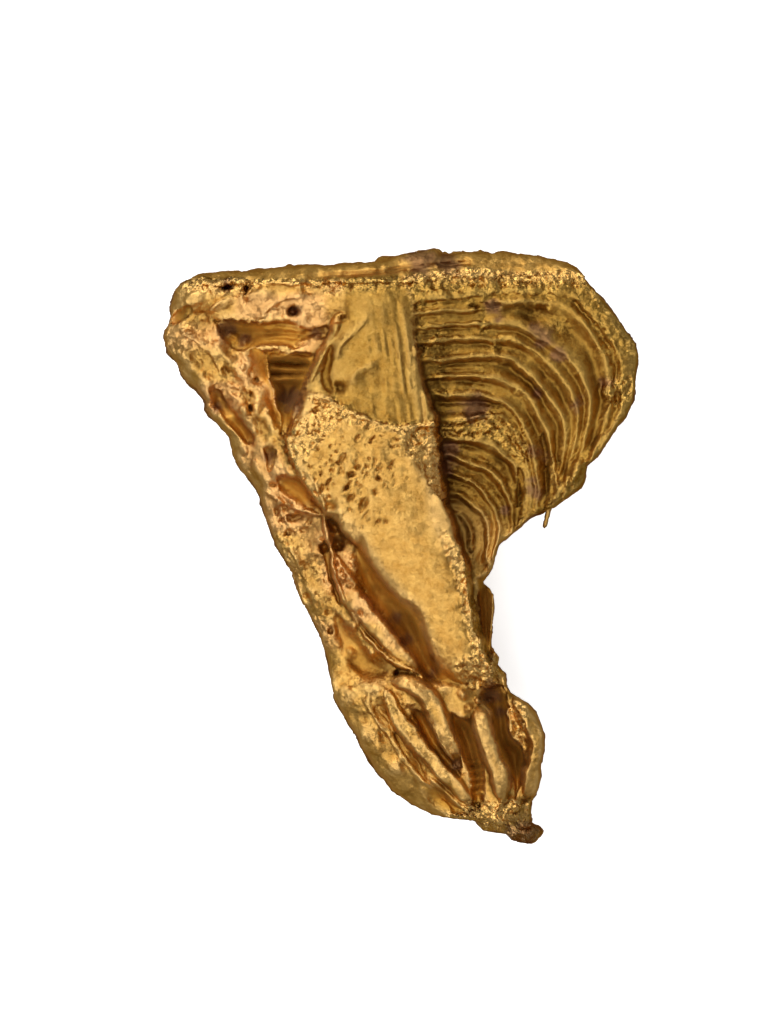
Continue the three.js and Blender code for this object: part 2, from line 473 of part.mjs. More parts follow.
// The underside below a place whose rim is at the given height: a bowl with growth steps, and level under
// the leg.
function backHeight(a, d, rim) {
  const reach = Math.hypot(a - BELLY.lowest[0], 0.8 * (d - BELLY.lowest[1]));
  const onBelly = smooth(reach, 2, 7);
  let z = BELLY.rise * reach * reach - BELLY.worn;
  for (let k = 0; k < BACK_STEPS.count; k++) {
    const wander = 0.5 * unevenness(a, d, k, 5);
    const outside = reach + wander - BACK_STEPS.first - k * BACK_STEPS.apart;
    z += BACK_STEPS.step * (smooth(outside, -0.15, 0.15) - 0.5 * smooth(outside, 0.1, 1.5));
  }
  z = Math.min(z, rim - BELLY.leg);
  for (const { line, half, height } of backRibs) {
    const { distance, share } = nearest(line, a, d, half);
    z -= height * taper(share) * (1 - (distance / half) ** 2);
  }
  for (const { line, half, depth } of backGrooves) {
    const { distance, share } = nearest(line, a, d, half);
    z += depth * taper(share) * (1 - clamp(distance / (half * taper(share)), 0, 1) ** 3);
  }
  return z + LUMPS.back * mix(0.25, 1, onBelly) * unevenness(a, d, 9, LUMPS.size);
}

const rimHeight = (s, d) => mix(along(LEFT_RIM_Z, d), along(RIGHT_RIM_Z, d), s);

// Turns a share across (s) and a level down the body into a place on the outline's plane.
function placed(s, level, topLine) {
  const a = mix(along(LEFT_EDGE, level), along(RIGHT_EDGE, level), s);
  const fade = clamp(1 - (level - TOP) / LIP_REACH, 0, 1) ** 2;
  return [a, level + (along(topLine, a) - TOP) * fade];
}

const levelOf = (t) => mix(TOP, TIP[1], t);
const acrossOf = (j) => {
  const even = j / GRID.across;
  return mix(even, 0.5 - 0.5 * Math.cos(Math.PI * even), GRID.crowded);
};
const toSpace = (a, d, z) => [a - WIDTH / 2, LENGTH / 2 - d, z];

function facePoint(s, t) {
  const [a, d] = placed(s, levelOf(t), LIP);
  const rim = rimHeight(s, d);
  const radius = mix(FACE_RIM.left, FACE_RIM.right, s) * (1 + LUMPS.rim * unevenness(a, d, 4, 1.9));
  const rise = quarterRound(s === 0 || s === 1 ? 0 : rimDistance(a, d), radius);
  return [a, d, mix(rim, faceHeight(a, d), rise)];
}

function backPoint(s, t) {
  const [a, d] = placed(s, levelOf(t), BACK_EDGE);
  const width = along(RIGHT_EDGE, d) - along(LEFT_EDGE, d);
  const radius = Math.min(BELLY.rim, 0.46 * width + 0.05);
  const rise = quarterRound(s === 0 || s === 1 ? 0 : rimDistance(a, d), radius);
  const rim = rimHeight(s, d);
  const under = mix(BELLY.topZ, backHeight(a, d, rim), quarterRound(levelOf(t) - TOP, BELLY.topRim));
  return [a, d, mix(rim, Math.min(under, rim), rise)];
}

// The broad end slants out from the lip, then drops to the back edge, with low waves.
function endPoint(s, w) {
  const [[a0, d0, z0], [a1, d1, z1]] = [facePoint(s, 0), backPoint(s, 0)];
  const bulge = LUMPS.end * Math.sin(Math.PI * w) * unevenness(a0, z0 * (1 - w) + z1 * w, 3, 2.2);
  const inset = clamp(4 * Math.min(s, 1 - s), 0, 1);
  const out = Math.sin((Math.PI / 2) * clamp(w / END_SLOPE, 0, 1));
  return [mix(a0, a1, w), mix(d0, d1, out) + inset * bulge, mix(z0, z1, w)];
}

// One closed surface from its three sheets, which share their borders.
function bodyGeometry() {
  const positions = [];
  const index = [];
  const sheet = (point, rows, flip) => {
    const first = positions.length / 3;
    for (let i = 0; i <= rows; i++) {
      for (let j = 0; j <= GRID.across; j++) {
        positions.push(...toSpace(...point(acrossOf(j), i / rows)));
      }
    }
    for (let i = 0; i < rows; i++) {
      for (let j = 0; j < GRID.across; j++) {
        const a = first + i * (GRID.across + 1) + j;
        const [b, c, e] = [a + 1, a + GRID.across + 1, a + GRID.across + 2];
        index.push(...(flip ? [a, b, c, b, e, c] : [a, c, b, b, c, e]));
      }
    }
  };
  sheet(facePoint, GRID.down, false);
  sheet(backPoint, GRID.down, true);
  sheet(endPoint, GRID.deep, true);
  const geometry = new THREE.BufferGeometry();
  geometry.setAttribute('position', new THREE.Float32BufferAttribute(positions, 3));
  geometry.setIndex(index);
  return welded(geometry);
}

// Shared vertices are merged, and triangles that have closed up are dropped.
function welded(geometry) {
  const merged = mergeVertices(geometry, 1e-3);
  const corners = merged.getIndex().array;
  const kept = [];
  for (let i = 0; i < corners.length; i += 3) {
    const [a, b, c] = corners.slice(i, i + 3);
    if (a !== b && b !== c && a !== c) kept.push(a, b, c);
  }
  merged.setIndex(kept);
  return merged;
}

const wasm = await Module();
wasm.setup();

function toSolid(geometry) {
  const bare = geometry.clone();
  bare.deleteAttribute('normal');
  bare.deleteAttribute('uv');
  const merged = welded(bare);
  return new wasm.Manifold(new wasm.Mesh({
    numProp: 3,
    vertProperties: new Float32Array(merged.getAttribute('position').array),
    triVerts: new Uint32Array(merged.getIndex().array),
  }));
}

function toGeometry(solid) {
  const { vertProperties, triVerts } = solid.getMesh();
  const geometry = new THREE.BufferGeometry();
  geometry.setAttribute('position', new THREE.BufferAttribute(vertProperties, 3));
  geometry.setIndex(new THREE.BufferAttribute(triVerts, 1));
  return geometry;
}

// A spine of gold that hangs from the lower edge of the hoppered face.
function spikeGeometry() {
  const [x, y, z] = toSpace(...SPIKE.at, SPIKE.z);
  const cone = new THREE.ConeGeometry(SPIKE.radius, SPIKE.length, 7);
  cone.rotateZ(Math.PI);
  cone.translate(x, y - SPIKE.length / 2 + 0.25, z);
  return cone;
}

// The wear that leaves the flat spot: a block whose top is the surface that the specimen rests on.
function wearGeometry() {
  const block = new THREE.BoxGeometry(2 * WIDTH, 2 * LENGTH, 4);
  return block.translate(0, 0, -2);
}

const fine = bodyGeometry();
const facets = fine.getIndex().count / 3;
const spare = Math.max(fine.getAttribute('position').count * (1 - FACETS / facets), 0);
const body = await new SimplifyModifier().modify(fine, Math.round(spare));
const gold = toGeometry(toSolid(body).add(toSolid(spikeGeometry())).subtract(toSolid(wearGeometry())));
gold.computeVertexNormals();

const specimen = new THREE.Group();
const nativeGold = new THREE.Mesh(
  gold,
  new THREE.MeshStandardMaterial({ color: 0xc89a4e, metalness: 1, roughness: 0.42, flatShading: true }),
);
nativeGold.name = 'native_gold';
specimen.add(nativeGold);

export default specimen;
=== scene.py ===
from itertools import product

import bpy
import numpy as np
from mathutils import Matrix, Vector


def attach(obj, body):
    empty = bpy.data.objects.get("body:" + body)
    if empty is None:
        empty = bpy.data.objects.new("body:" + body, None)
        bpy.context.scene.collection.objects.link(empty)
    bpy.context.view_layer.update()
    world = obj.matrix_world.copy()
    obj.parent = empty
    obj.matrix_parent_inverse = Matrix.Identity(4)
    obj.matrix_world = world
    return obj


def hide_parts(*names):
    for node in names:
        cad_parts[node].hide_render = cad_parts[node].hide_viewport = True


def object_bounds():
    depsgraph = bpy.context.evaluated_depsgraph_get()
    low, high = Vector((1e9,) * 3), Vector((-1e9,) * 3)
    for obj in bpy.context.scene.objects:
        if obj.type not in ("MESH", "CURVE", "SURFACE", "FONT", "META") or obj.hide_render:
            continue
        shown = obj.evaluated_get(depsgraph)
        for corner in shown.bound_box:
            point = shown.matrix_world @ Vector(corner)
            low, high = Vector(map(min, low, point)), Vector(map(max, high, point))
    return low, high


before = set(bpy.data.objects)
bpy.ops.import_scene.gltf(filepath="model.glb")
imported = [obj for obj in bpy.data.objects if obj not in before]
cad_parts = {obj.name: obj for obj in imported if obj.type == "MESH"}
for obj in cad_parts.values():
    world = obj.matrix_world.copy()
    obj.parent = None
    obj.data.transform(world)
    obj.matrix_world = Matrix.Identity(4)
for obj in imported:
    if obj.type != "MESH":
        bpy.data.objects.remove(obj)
cad_low, cad_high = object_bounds()

# The specimen lies on its back and is looked at from straight above, through a long lens, as the
# photograph does. The picture is 51 mm high at the height of its face. Soft light comes from beyond its
# broad end and from above, in a white room, on white paper that glows a little.
MM = 0.001
FRAME_HEIGHT_MM = 51.2
LOOK_AT_MM = (-0.92, 1.9, 7.0)
CAMERA_MM = 600.0
FLOOR_MM = 900.0
LIGHTS = (
    # name, place in mm, width in mm, watts
    ("key", (-90, 250, 250), 260, 0.85),
    ("front", (-70, -190, 390), 330, 1.1),
    ("side", (-300, 60, 200), 260, 0.3),
)
ROOM_LIGHT = 0.36
PAPER = {"Roughness": 0.9, "Emission Strength": 0.65}
WHITE = "#FFFFFF"


def to_linear(colour):
    """An sRGB hex colour as linear red, green, blue and a full alpha."""
    parts = [int(colour[i : i + 2], 16) / 255 for i in (1, 3, 5)]
    return [c / 12.92 if c <= 0.04045 else ((c + 0.055) / 1.055) ** 2.4 for c in parts] + [1.0]


camera = bpy.data.objects.new("camera", bpy.data.cameras.new("camera"))
camera.data.sensor_width = 36.0
camera.data.lens = camera.data.sensor_width * CAMERA_MM / FRAME_HEIGHT_MM
camera.data.clip_start, camera.data.clip_end = 0.01, 10.0
camera.location = (Vector(LOOK_AT_MM) + Vector((0, 0, CAMERA_MM))) * MM
bpy.context.scene.collection.objects.link(camera)
bpy.context.scene.camera = camera

for name, place, width, watts in LIGHTS:
    light = bpy.data.lights.new(name, "AREA")
    light.shape, light.size, light.energy = "DISK", width * MM, watts
    lamp = bpy.data.objects.new(name, light)
    lamp.location = Vector(place) * MM
    lamp.rotation_euler = (Vector(LOOK_AT_MM) - Vector(place)).to_track_quat("-Z", "Y").to_euler()
    bpy.context.scene.collection.objects.link(lamp)

world = bpy.data.worlds.new("studio")
bpy.context.scene.world = world
world.use_nodes = True
world.node_tree.nodes["Background"].inputs["Color"].default_value = to_linear(WHITE)
world.node_tree.nodes["Background"].inputs["Strength"].default_value = ROOM_LIGHT
bpy.context.scene.view_settings.view_transform = "Standard"

reach = FLOOR_MM * MM / 2
floor_mesh = bpy.data.meshes.new("floor")
corners = [(-reach, -reach, 0), (reach, -reach, 0), (reach, reach, 0), (-reach, reach, 0)]
floor_mesh.from_pydata(corners, [], [(0, 1, 2, 3)])
floor = bpy.data.objects.new("floor", floor_mesh)
bpy.context.scene.collection.objects.link(floor)
paper = bpy.data.materials.new("white paper")
paper.use_nodes = True
white = dict.fromkeys(("Base Color", "Emission Color"), to_linear(WHITE))
for key, value in (white | PAPER).items():
    paper.node_tree.nodes["Principled BSDF"].inputs[key].default_value = value
floor_mesh.materials.append(paper)
floor.visible_glossy = False

# The specimen is one piece of native gold that grew as a skeletal crystal, so it is one closed mesh. A
# flat keel and blade run down its middle, a hoppered face steps down on the right in nested terraces, a
# spongy wall with a deep pocket stands on the left, and slots part the ribs of the leg. Places are
# [across, down] in mm from the upper left corner of its outline, and heights are mm above the surface
# that it rests on.
EDGE_MARGIN = 0.1
CORNER = (cad_low.x / MM - EDGE_MARGIN, cad_high.y / MM + EDGE_MARGIN)
TOP = 1.5
TIP = [18.45, 29.9]
CELLS = {"across": 360, "down": 450, "deep": 90, "crowded_at_rim": 0.45}
TRIANGLES = 190000

LEFT_EDGE = [
    [TOP, 1.5], [1.75, 1.0], [2.15, 0.7], [2.95, 0.43], [3.3, 0.5], [3.65, 0.45], [4.05, 0.18], [4.45, 0.1],
    [4.95, 0.2], [5.4, 0.4], [5.8, 0.8], [6.3, 1.0], [6.75, 1.3], [7.15, 1.75], [7.75, 2.23], [8.05, 2.2],
    [8.45, 2.4], [8.9, 2.85], [9.5, 3.4], [10.4, 3.6], [11, 3.9], [11.8, 4.55], [12.35, 4.9],
    [13.6, 5.25], [14.25, 5.45], [14.95, 5.8], [16.2, 6.5], [17.45, 6.9], [18.65, 7.55], [19.6, 8],
    [20.3, 8.25], [21.25, 8.43], [22.6, 8.65], [23.9, 9.4], [24.5, 9.85], [25, 10], [26.25, 10.8],
    [26.6, 11.15], [27.25, 11.6], [27.95, 12.6], [28.5, 13.85], [28.65, 15.1], [28.75, 15.75],
    [29, 15.95], [29.25, 16.25], [29.38, 17.3], [29.7, 17.6], [29.8, 18.1], TIP[::-1],
]
RIGHT_EDGE = [
    [TOP, 21.25], [1.8, 21.5], [2.35, 22], [2.95, 22.5], [3.6, 23], [4.3, 23.5], [4.8, 23.85], [5.4, 24],
    [6.25, 23.85], [6.75, 23.8], [7.25, 23.85], [7.7, 23.75], [8.45, 23.35], [9, 22.9], [10, 22.25],
    [10.5, 21.9], [10.9, 21.4], [11.65, 21.3], [12, 21.1], [12.3, 20.7], [12.65, 20.25], [13.05, 19.65],
    [13.35, 18.9], [13.55, 18.5], [13.9, 18.15], [14.65, 17.25], [14.9, 17], [15.4, 16.85],
    [16.05, 16.65], [16.35, 16.45], [16.75, 16.2], [17, 16.5], [17.35, 16.75], [17.95, 16.75],
    [19.25, 16.65], [19.95, 16.65], [20.5, 17], [20.9, 16.9], [21.35, 17.35], [22, 17.4], [22.3, 17.6],
    [22.8, 18.45], [23.3, 18.9], [23.85, 19.1], [24.4, 19.3], [24.9, 19.3], [26, 19.1], [26.45, 19.15],
    [27.4, 18.85], [27.8, 18.65], [28.85, 18.6], [29.05, 19.05], [29.3, 19.2], [29.75, 18.85], TIP[::-1],
]

# The broad end: its front lip and its back edge, as [across, down].
LIP = [
    [1.5, TOP], [3, 1.62], [9.25, 1.65], [12, 1.5], [14, 1.25], [15.5, 1.05], [17, 1.2], [20.6, 1.15],
    [21.25, TOP],
]
BACK_EDGE = [
    [1.5, TOP], [1.9, 1.35], [3, 1.2], [5, 1.1], [7, 0.95], [9, 0.88], [10.75, 0.8], [11.25, 0.65],
    [12, 0.45], [13.2, 0.15], [13.7, 0.1], [14.1, 0.35], [15.75, 0.33], [17.15, 0.23], [19, 0.48],
    [20.35, 0.75], [20.85, 1], [21.25, TOP],
]

# A fissure along the broad end below a fold: its line, half its width and its depth.
FISSURE = ([[7.6, 1.45], [11, 1.3], [12, 1.1], [13, 1], [14, 0.9], [15, 0.8], [15.6, 0.75]], 0.1, 0.5)

# The edges of the keel and the blade below it, as [down, across].
KEEL_LEFT = [
    [1.65, 9.25], [3.6, 9.25], [3.9, 8.75], [4.75, 8.4], [5.6, 7.9], [6.5, 7.5], [7.5, 7.15], [8.75, 6.75],
    [9.6, 6.25], [10.25, 6.3], [11.5, 6.9], [12.75, 7.8], [14, 8.9], [15, 9.9], [16.5, 10.9], [17.5, 11.7],
    [18.5, 12.6], [19.5, 13.1], [20.5, 13.6], [21.75, 14], [24, 14.6],
]
KEEL_RIGHT = [
    [1.25, 12.1], [3.25, 12.5], [4.5, 12.65], [5.5, 12.8], [6.5, 13], [7.25, 13.2], [8.1, 13.5],
    [8.75, 13.7], [9.5, 13.8], [11, 14], [12.5, 14.15], [13, 14.25], [14, 14.6], [15.5, 15.15],
    [16.5, 15.35], [18, 15.5], [19, 15.7], [20, 16.1], [21, 16.5], [21.75, 16.7], [24, 16.9],
]
BLADE_SHOULDER = [
    [8.9, 13.4], [9.3, 12.2], [10.1, 12.3], [10.9, 12.9], [11.9, 13.5], [12.75, 14.1], [13, 14.4],
]
PANEL_FOOT = [[7, 7], [8.5, 7.5], [9.25, 8.1], [10, 8.35], [11, 8.75], [11.75, 9], [12.5, 9], [13.7, 8.75]]

# Heights, as [down, height].
KEEL_TOP = [
    [1, 9.9], [3, 9.95], [5, 10], [9, 9.95], [12.5, 9.75], [15, 9.4], [18, 8.8], [20, 8.3], [21.5, 7.7],
    [24, 7],
]
LEFT_SHOULDER = [
    [1, 7.6], [5, 7.3], [8, 7.1], [12, 6.6], [16, 6.1], [20, 5.6], [24, 5.2], [28, 4.6], [30, 3.9],
]
LEFT_OF_KEEL = [[1, 9.95], [3, 9.9], [4.2, 9.4], [10, 8.9], [13, 8.6], [18, 7.6], [22, 6.9]]
LEG_TOP = [[20, 7.8], [22, 7.4], [24, 7], [26, 6.4], [28, 5.6], [29, 5], [30, 4.2]]
LEFT_RIM = [[1, 4.8], [8, 4.4], [14, 4], [22, 3.7], [29, 3.3]]
RIGHT_RIM = [[1, 6.3], [6, 5.9], [10, 5.2], [13, 4.5], [17, 4.2], [24, 3.7], [29, 3.3]]
LEG_STARTS = (20.8, 22.2)

# The keel is a little domed and stands above the hoppered face, less so near the broad end, where the two
# are nearly level. The blade falls away on its left and past its shoulder. The panel is sunk, and
# striations run down its right half.
KEEL = {"dome": 0.35, "left_fall": 0.35, "shoulder_fall": 0.8, "panel_sunk": 0.22, "striation": 0.09,
        "above_hopper": (0.05, 0.5), "hopper_joined": 0.25}
LEG_DOME = 1.2

# The hoppered face: nested crests from the outermost to the innermost, with how far each lies below the
# slanted plane of the face, and how deep the groove behind it is. A groove has that depth where the
# terrace is 0.8 mm wide, and is a fifth deeper on the right. On the left each terrace is split in two.
HOPPER = {"corner": (12.5, 3.2), "top": 9.75, "fall_right": 0.12, "fall_down": 0.08, "rim_fall": 0.15,
          "terrace": 0.8, "right": (14.2, 16.2), "deeper": 0.2, "split": 0.16, "uneven": 0.6}
CRESTS = [
    ([[11, 2.7], [13.5, 2.68], [16, 2.42], [18, 2.3], [19.6, 2.25], [20.8, 2.6], [21.9, 3.7], [22.8, 5.1],
      [23.1, 6.3], [22.9, 8.2], [22, 10.3]], -0.05, 0.24),
    ([[11, 3.45], [13.9, 3.28], [15.5, 3.05], [17.25, 2.82], [19, 2.75], [19.9, 2.8], [20.6, 3.2],
      [21.2, 3.85], [21.7, 4.65], [22.15, 5.55], [22.4, 6.8], [22.3, 8.4], [21.6, 10.6]], 0, 0.3),
    ([[11, 4.12], [13, 4.08], [14.75, 3.9], [16.6, 3.8], [17.9, 3.95], [18.8, 4.45], [19.6, 4.9],
      [20.3, 5.5], [20.9, 6.3], [21.3, 7.2], [21.4, 8.2], [21.2, 9.4], [20.7, 11.6]], 0.13, 0.26),
    ([[11, 4.88], [13, 4.82], [14.75, 4.62], [17.2, 4.55], [18.1, 4.85], [18.9, 5.35], [19.5, 5.9],
      [20.1, 6.6], [20.55, 7.4], [20.8, 8.2], [20.75, 9.2], [20.2, 12.2]], 0.28, 0.26),
    ([[11, 5.75], [13.25, 5.7], [14.75, 5.47], [17.2, 5.48], [18, 5.95], [18.6, 6.45], [19.2, 7.1],
      [19.75, 7.9], [20.1, 8.65], [20.2, 9.6], [20.1, 10.8], [19.7, 12.6]], 0.45, 0.26),
    ([[11, 6.6], [14, 6.5], [16.3, 6.4], [17.4, 6.75], [18.2, 7.35], [18.8, 8.1], [19.3, 9],
      [19.55, 10.2], [19.55, 11.6], [19.3, 13.1]], 0.65, 0.28),
    ([[11, 7.45], [13.75, 7.38], [16, 7.38], [16.9, 7.62], [17.6, 8.15], [18.1, 8.85], [18.5, 9.75],
      [18.75, 10.8], [18.85, 12.2], [18.6, 13.8]], 0.84, 0.29),
    ([[11, 8.75], [13.75, 8.65], [15.3, 8.6], [16.3, 8.4], [16.9, 8.42], [17.45, 8.85], [17.95, 9.6],
      [18.35, 10.5], [18.5, 11.6], [18.45, 12.8], [18.1, 14]], 0.98, 0.05),
    ([[11, 9.6], [13.9, 9.58], [15.75, 9.65], [16.6, 9.92], [17.3, 10.5], [17.85, 11.3], [18.1, 12.1],
      [18.1, 13.2], [17.8, 14.4]], 1.1, 0.29),
    ([[12, 10.5], [14.3, 10.45], [15.4, 10.7], [16.4, 11.2], [17.1, 11.8], [17.5, 12.6], [17.6, 13.5],
      [17.4, 15]], 1.4, 0.29),
    ([[12, 11.35], [14.3, 11.3], [15.2, 11.5], [15.9, 12], [16.5, 12.7], [16.85, 13.5], [16.95, 14.3],
      [16.7, 15.5]], 1.55, 0.28),
    ([[12, 12.3], [14.3, 12.3], [15.2, 12.5], [15.8, 12.95], [16.2, 13.5], [16.4, 14.2],
      [16.4, 15.5]], 1.7, 0.28),
    ([[12, 13.2], [14.6, 13.25], [15.2, 13.5], [15.6, 14.2], [15.65, 15]], 1.85, 0.16),
]

FAN = [
    [12, 2.4], [19.5, 2.3], [20.8, 2.7], [21.9, 3.8], [22.7, 5.4], [22.8, 7.5], [21.8, 10], [20, 12.5],
    [18, 14], [14.5, 15],
]

# Rough crystalline patches among the smooth terraces and ribs.
CRUSTS = [
    [[13.9, 8.75], [15.5, 8.45], [16.3, 8.15], [17, 8.3], [18, 9.3], [18.6, 10.4], [18.3, 11],
     [17.5, 10.2], [16.5, 9.55], [15, 9.45], [13.9, 9.45]],
    [[11.8, 9.1], [13.6, 8.8], [14, 9.6], [14.2, 11.5], [14.4, 12.9], [14.1, 12.75], [13.5, 11.9],
     [12.9, 10.9], [12.25, 10.1]],
    [[7.5, 7.2], [8.9, 7.6], [10, 8.3], [11.6, 8.7], [13.5, 8.7], [13.6, 9.1], [11.6, 9.25], [9.8, 8.95],
     [8.6, 8.25], [7.4, 7.7]],
    [[22.3, 6.5], [23.5, 6.4], [23.6, 7.5], [22.8, 8], [22.2, 7.5]],
    [[17.2, 22.9], [18.2, 22.9], [18.4, 24.2], [18.2, 24.8], [17.5, 24.2]],
    [[13.8, 14], [14.8, 14.4], [15.4, 16], [15.7, 18], [16.2, 20.6], [15.6, 20.4], [15.1, 18.4],
     [14.6, 16.2]],
    [[5.9, 9.2], [7.4, 8.2], [8.6, 8], [9.6, 8.4], [8.4, 9.4], [7.4, 10.6], [6.7, 11.2], [6.2, 10.4]],
    [[14.6, 20.6], [15.6, 20.2], [16.6, 20], [17.3, 21.3], [16.8, 22], [15.4, 22.1], [14.9, 21.4]],
]

# Ribs and flanks that are smoother than the rest, with half their width.
CALM = [
    ([[8.9, 16], [9.7, 17.6], [10.7, 19], [11.8, 20.3], [12.8, 21.1]], 0.8),
    ([[11.3, 21.8], [12.6, 21.8], [13.4, 22.5], [14, 23.5], [14.4, 24.4], [14.8, 25.3]], 0.8),
    ([[18.6, 23.2], [19.1, 24.4], [19, 25.8], [18.6, 27.2]], 0.6),
    ([[3, 3.05], [4.25, 3.05], [5.25, 2.5], [6.3, 2.4]], 0.7),
]

# What stands up from the face with a level top: the line, half its width in its middle, its height.
PLATES = [
    ([[8.6, 15.4], [9.2, 16.6], [9.9, 17.8], [10.9, 19], [11.9, 20.1], [12.9, 21.2]], 0.62, 0.75),
    ([[11.5, 21.75], [12.6, 21.8], [13.4, 22.5], [14, 23.6], [14.45, 24.6], [14.9, 25.6]], 0.6, 0.8),
    ([[11.3, 22.1], [11.9, 23.4], [12.9, 24.8], [13.9, 25.9], [14.9, 27], [15.8, 28.2]], 0.5, 0.6),
    ([[15.8, 22.9], [16.15, 24], [16.6, 25.2], [17, 26.3], [17.05, 27.6]], 0.62, 1.3),
    ([[17.7, 22.4], [18.5, 23.4], [19, 24.7], [18.9, 26], [18.4, 27.5]], 0.8, 0.9),
]

# What stands up from the face in a crest: the line, half its width in its middle, its height.
RIDGES = [
    ([[0.9, 2.1], [2.2, 1.8], [4, 1.75], [6, 1.8], [9, 1.75], [12, 1.7], [15, 1.4], [18, 1.35],
      [20.6, 1.5]], 0.16, 0.18),
    ([[9.3, 3.3], [8.75, 3.75], [8.4, 4.75], [7.9, 5.6], [7.4, 6.7], [7, 7.6], [6.75, 8.4],
      [6.15, 9.7]], 0.3, 0.45),
    ([[1.2, 5.2], [1.7, 6], [2.3, 6.9], [2.75, 8], [3.75, 9.5], [4.3, 10.3]], 0.45, 0.4),
    ([[3.3, 6.6], [3.9, 7.4], [4.4, 8.5], [4.8, 9.4]], 0.4, 0.3),
    ([[2.6, 4.6], [3.3, 5.5], [4, 6.2], [4.5, 7], [5.2, 8.2], [5.8, 9.3]], 0.5, 0.4),
    ([[5.1, 12], [6.3, 12.85], [7.4, 13.15], [8.2, 13.3]], 0.13, 0.25),
    ([[4.6, 10.6], [5.3, 11.7], [6, 12.9], [6.6, 14]], 0.4, 0.35),
    ([[7.5, 11.3], [7.8, 11.9], [8.1, 12.6], [8.3, 13.75], [8.5, 14.9], [8.7, 16.1], [9.1, 17.3],
      [9.7, 18.5], [10.5, 19.6], [11.25, 20.4], [12.1, 20.95], [12.9, 21.25], [13.25, 21.6]], 0.17, 0.5),
    ([[13, 23.1], [13.45, 23.6], [13.85, 24.25], [14.1, 24.8], [14.5, 25.4], [14.8, 25.7]], 0.13, 0.35),
    ([[11.7, 24.2], [12.2, 25], [12.8, 25.9], [13.5, 26.75]], 0.14, 0.25),
    ([[9.2, 21.8], [10, 23.6], [11.2, 25.6], [12.6, 27.2]], 0.8, 0.35),
    ([[16.45, 23.4], [16.85, 24.6], [17.3, 25.5], [17.6, 26.3]], 0.15, 0.3),
    ([[16.9, 27.75], [17.5, 27.6], [18.1, 27.9]], 0.25, 0.35),
    ([[14.95, 14.8], [15.35, 16.2], [15.5, 17.6], [15.85, 19], [16.3, 20.4], [16.6, 21.4]], 0.12, 0.22),
    ([[19.6, 10.4], [19.75, 11.2], [19.7, 12.2]], 0.16, 0.4),
    ([[19.5, 12.75], [20.25, 11.9], [21, 11], [22, 10.1], [22.6, 9]], 0.45, 0.4),
    ([[13.5, 26.5], [14.5, 27.5], [15.5, 28.4], [16, 29]], 0.2, 0.3),
]

# Growth ledges: the line of the step, how far its slope reaches on the left of the line as one walks
# along it, how far on the right, and the height of its top.
LEDGES = [
    ([[7.5, 7.45], [8.2, 7.6], [8.9, 7.85], [10, 8.5], [11, 8.8], [12, 9], [13.4, 8.95]], 0.7, 0.12, 0.18),
    ([[9.5, 6.8], [9.8, 6.2], [10.3, 5.9], [10.9, 5.7]], 0.14, 0.6, 0.16),
    ([[8.9, 5.6], [9.2, 4.8], [9.9, 4.2], [10.4, 3.6]], 0.5, 0.12, 0.2),
    ([[2.7, 3.5], [4, 3.65], [5.45, 3.75], [6.45, 3.6], [7.45, 4.1], [8.3, 3.85]], 0.8, 0.06, 0.22),
    ([[5, 3.6], [5.7, 3], [6.4, 2.6], [7.2, 2.5]], 0.4, 0.1, 0.25),
    ([[2.3, 3.3], [3.1, 2.7], [4.2, 2.45], [5, 2.1]], 0.1, 0.5, 0.25),
    ([[1, 4.2], [1.9, 4.6], [2.6, 5.4], [3, 6.3]], 0.5, 0.12, 0.25),
    ([[5.9, 14.3], [6.6, 15.3], [7.2, 16.4], [7.6, 17.6]], 0.5, 0.12, 0.25),
    ([[10.2, 22.6], [11, 23.8], [11.9, 25.2], [12.9, 26.6]], 0.5, 0.12, 0.25),
    ([[12.6, 26], [13.6, 27.1], [14.7, 28.3]], 0.12, 0.5, 0.25),
]

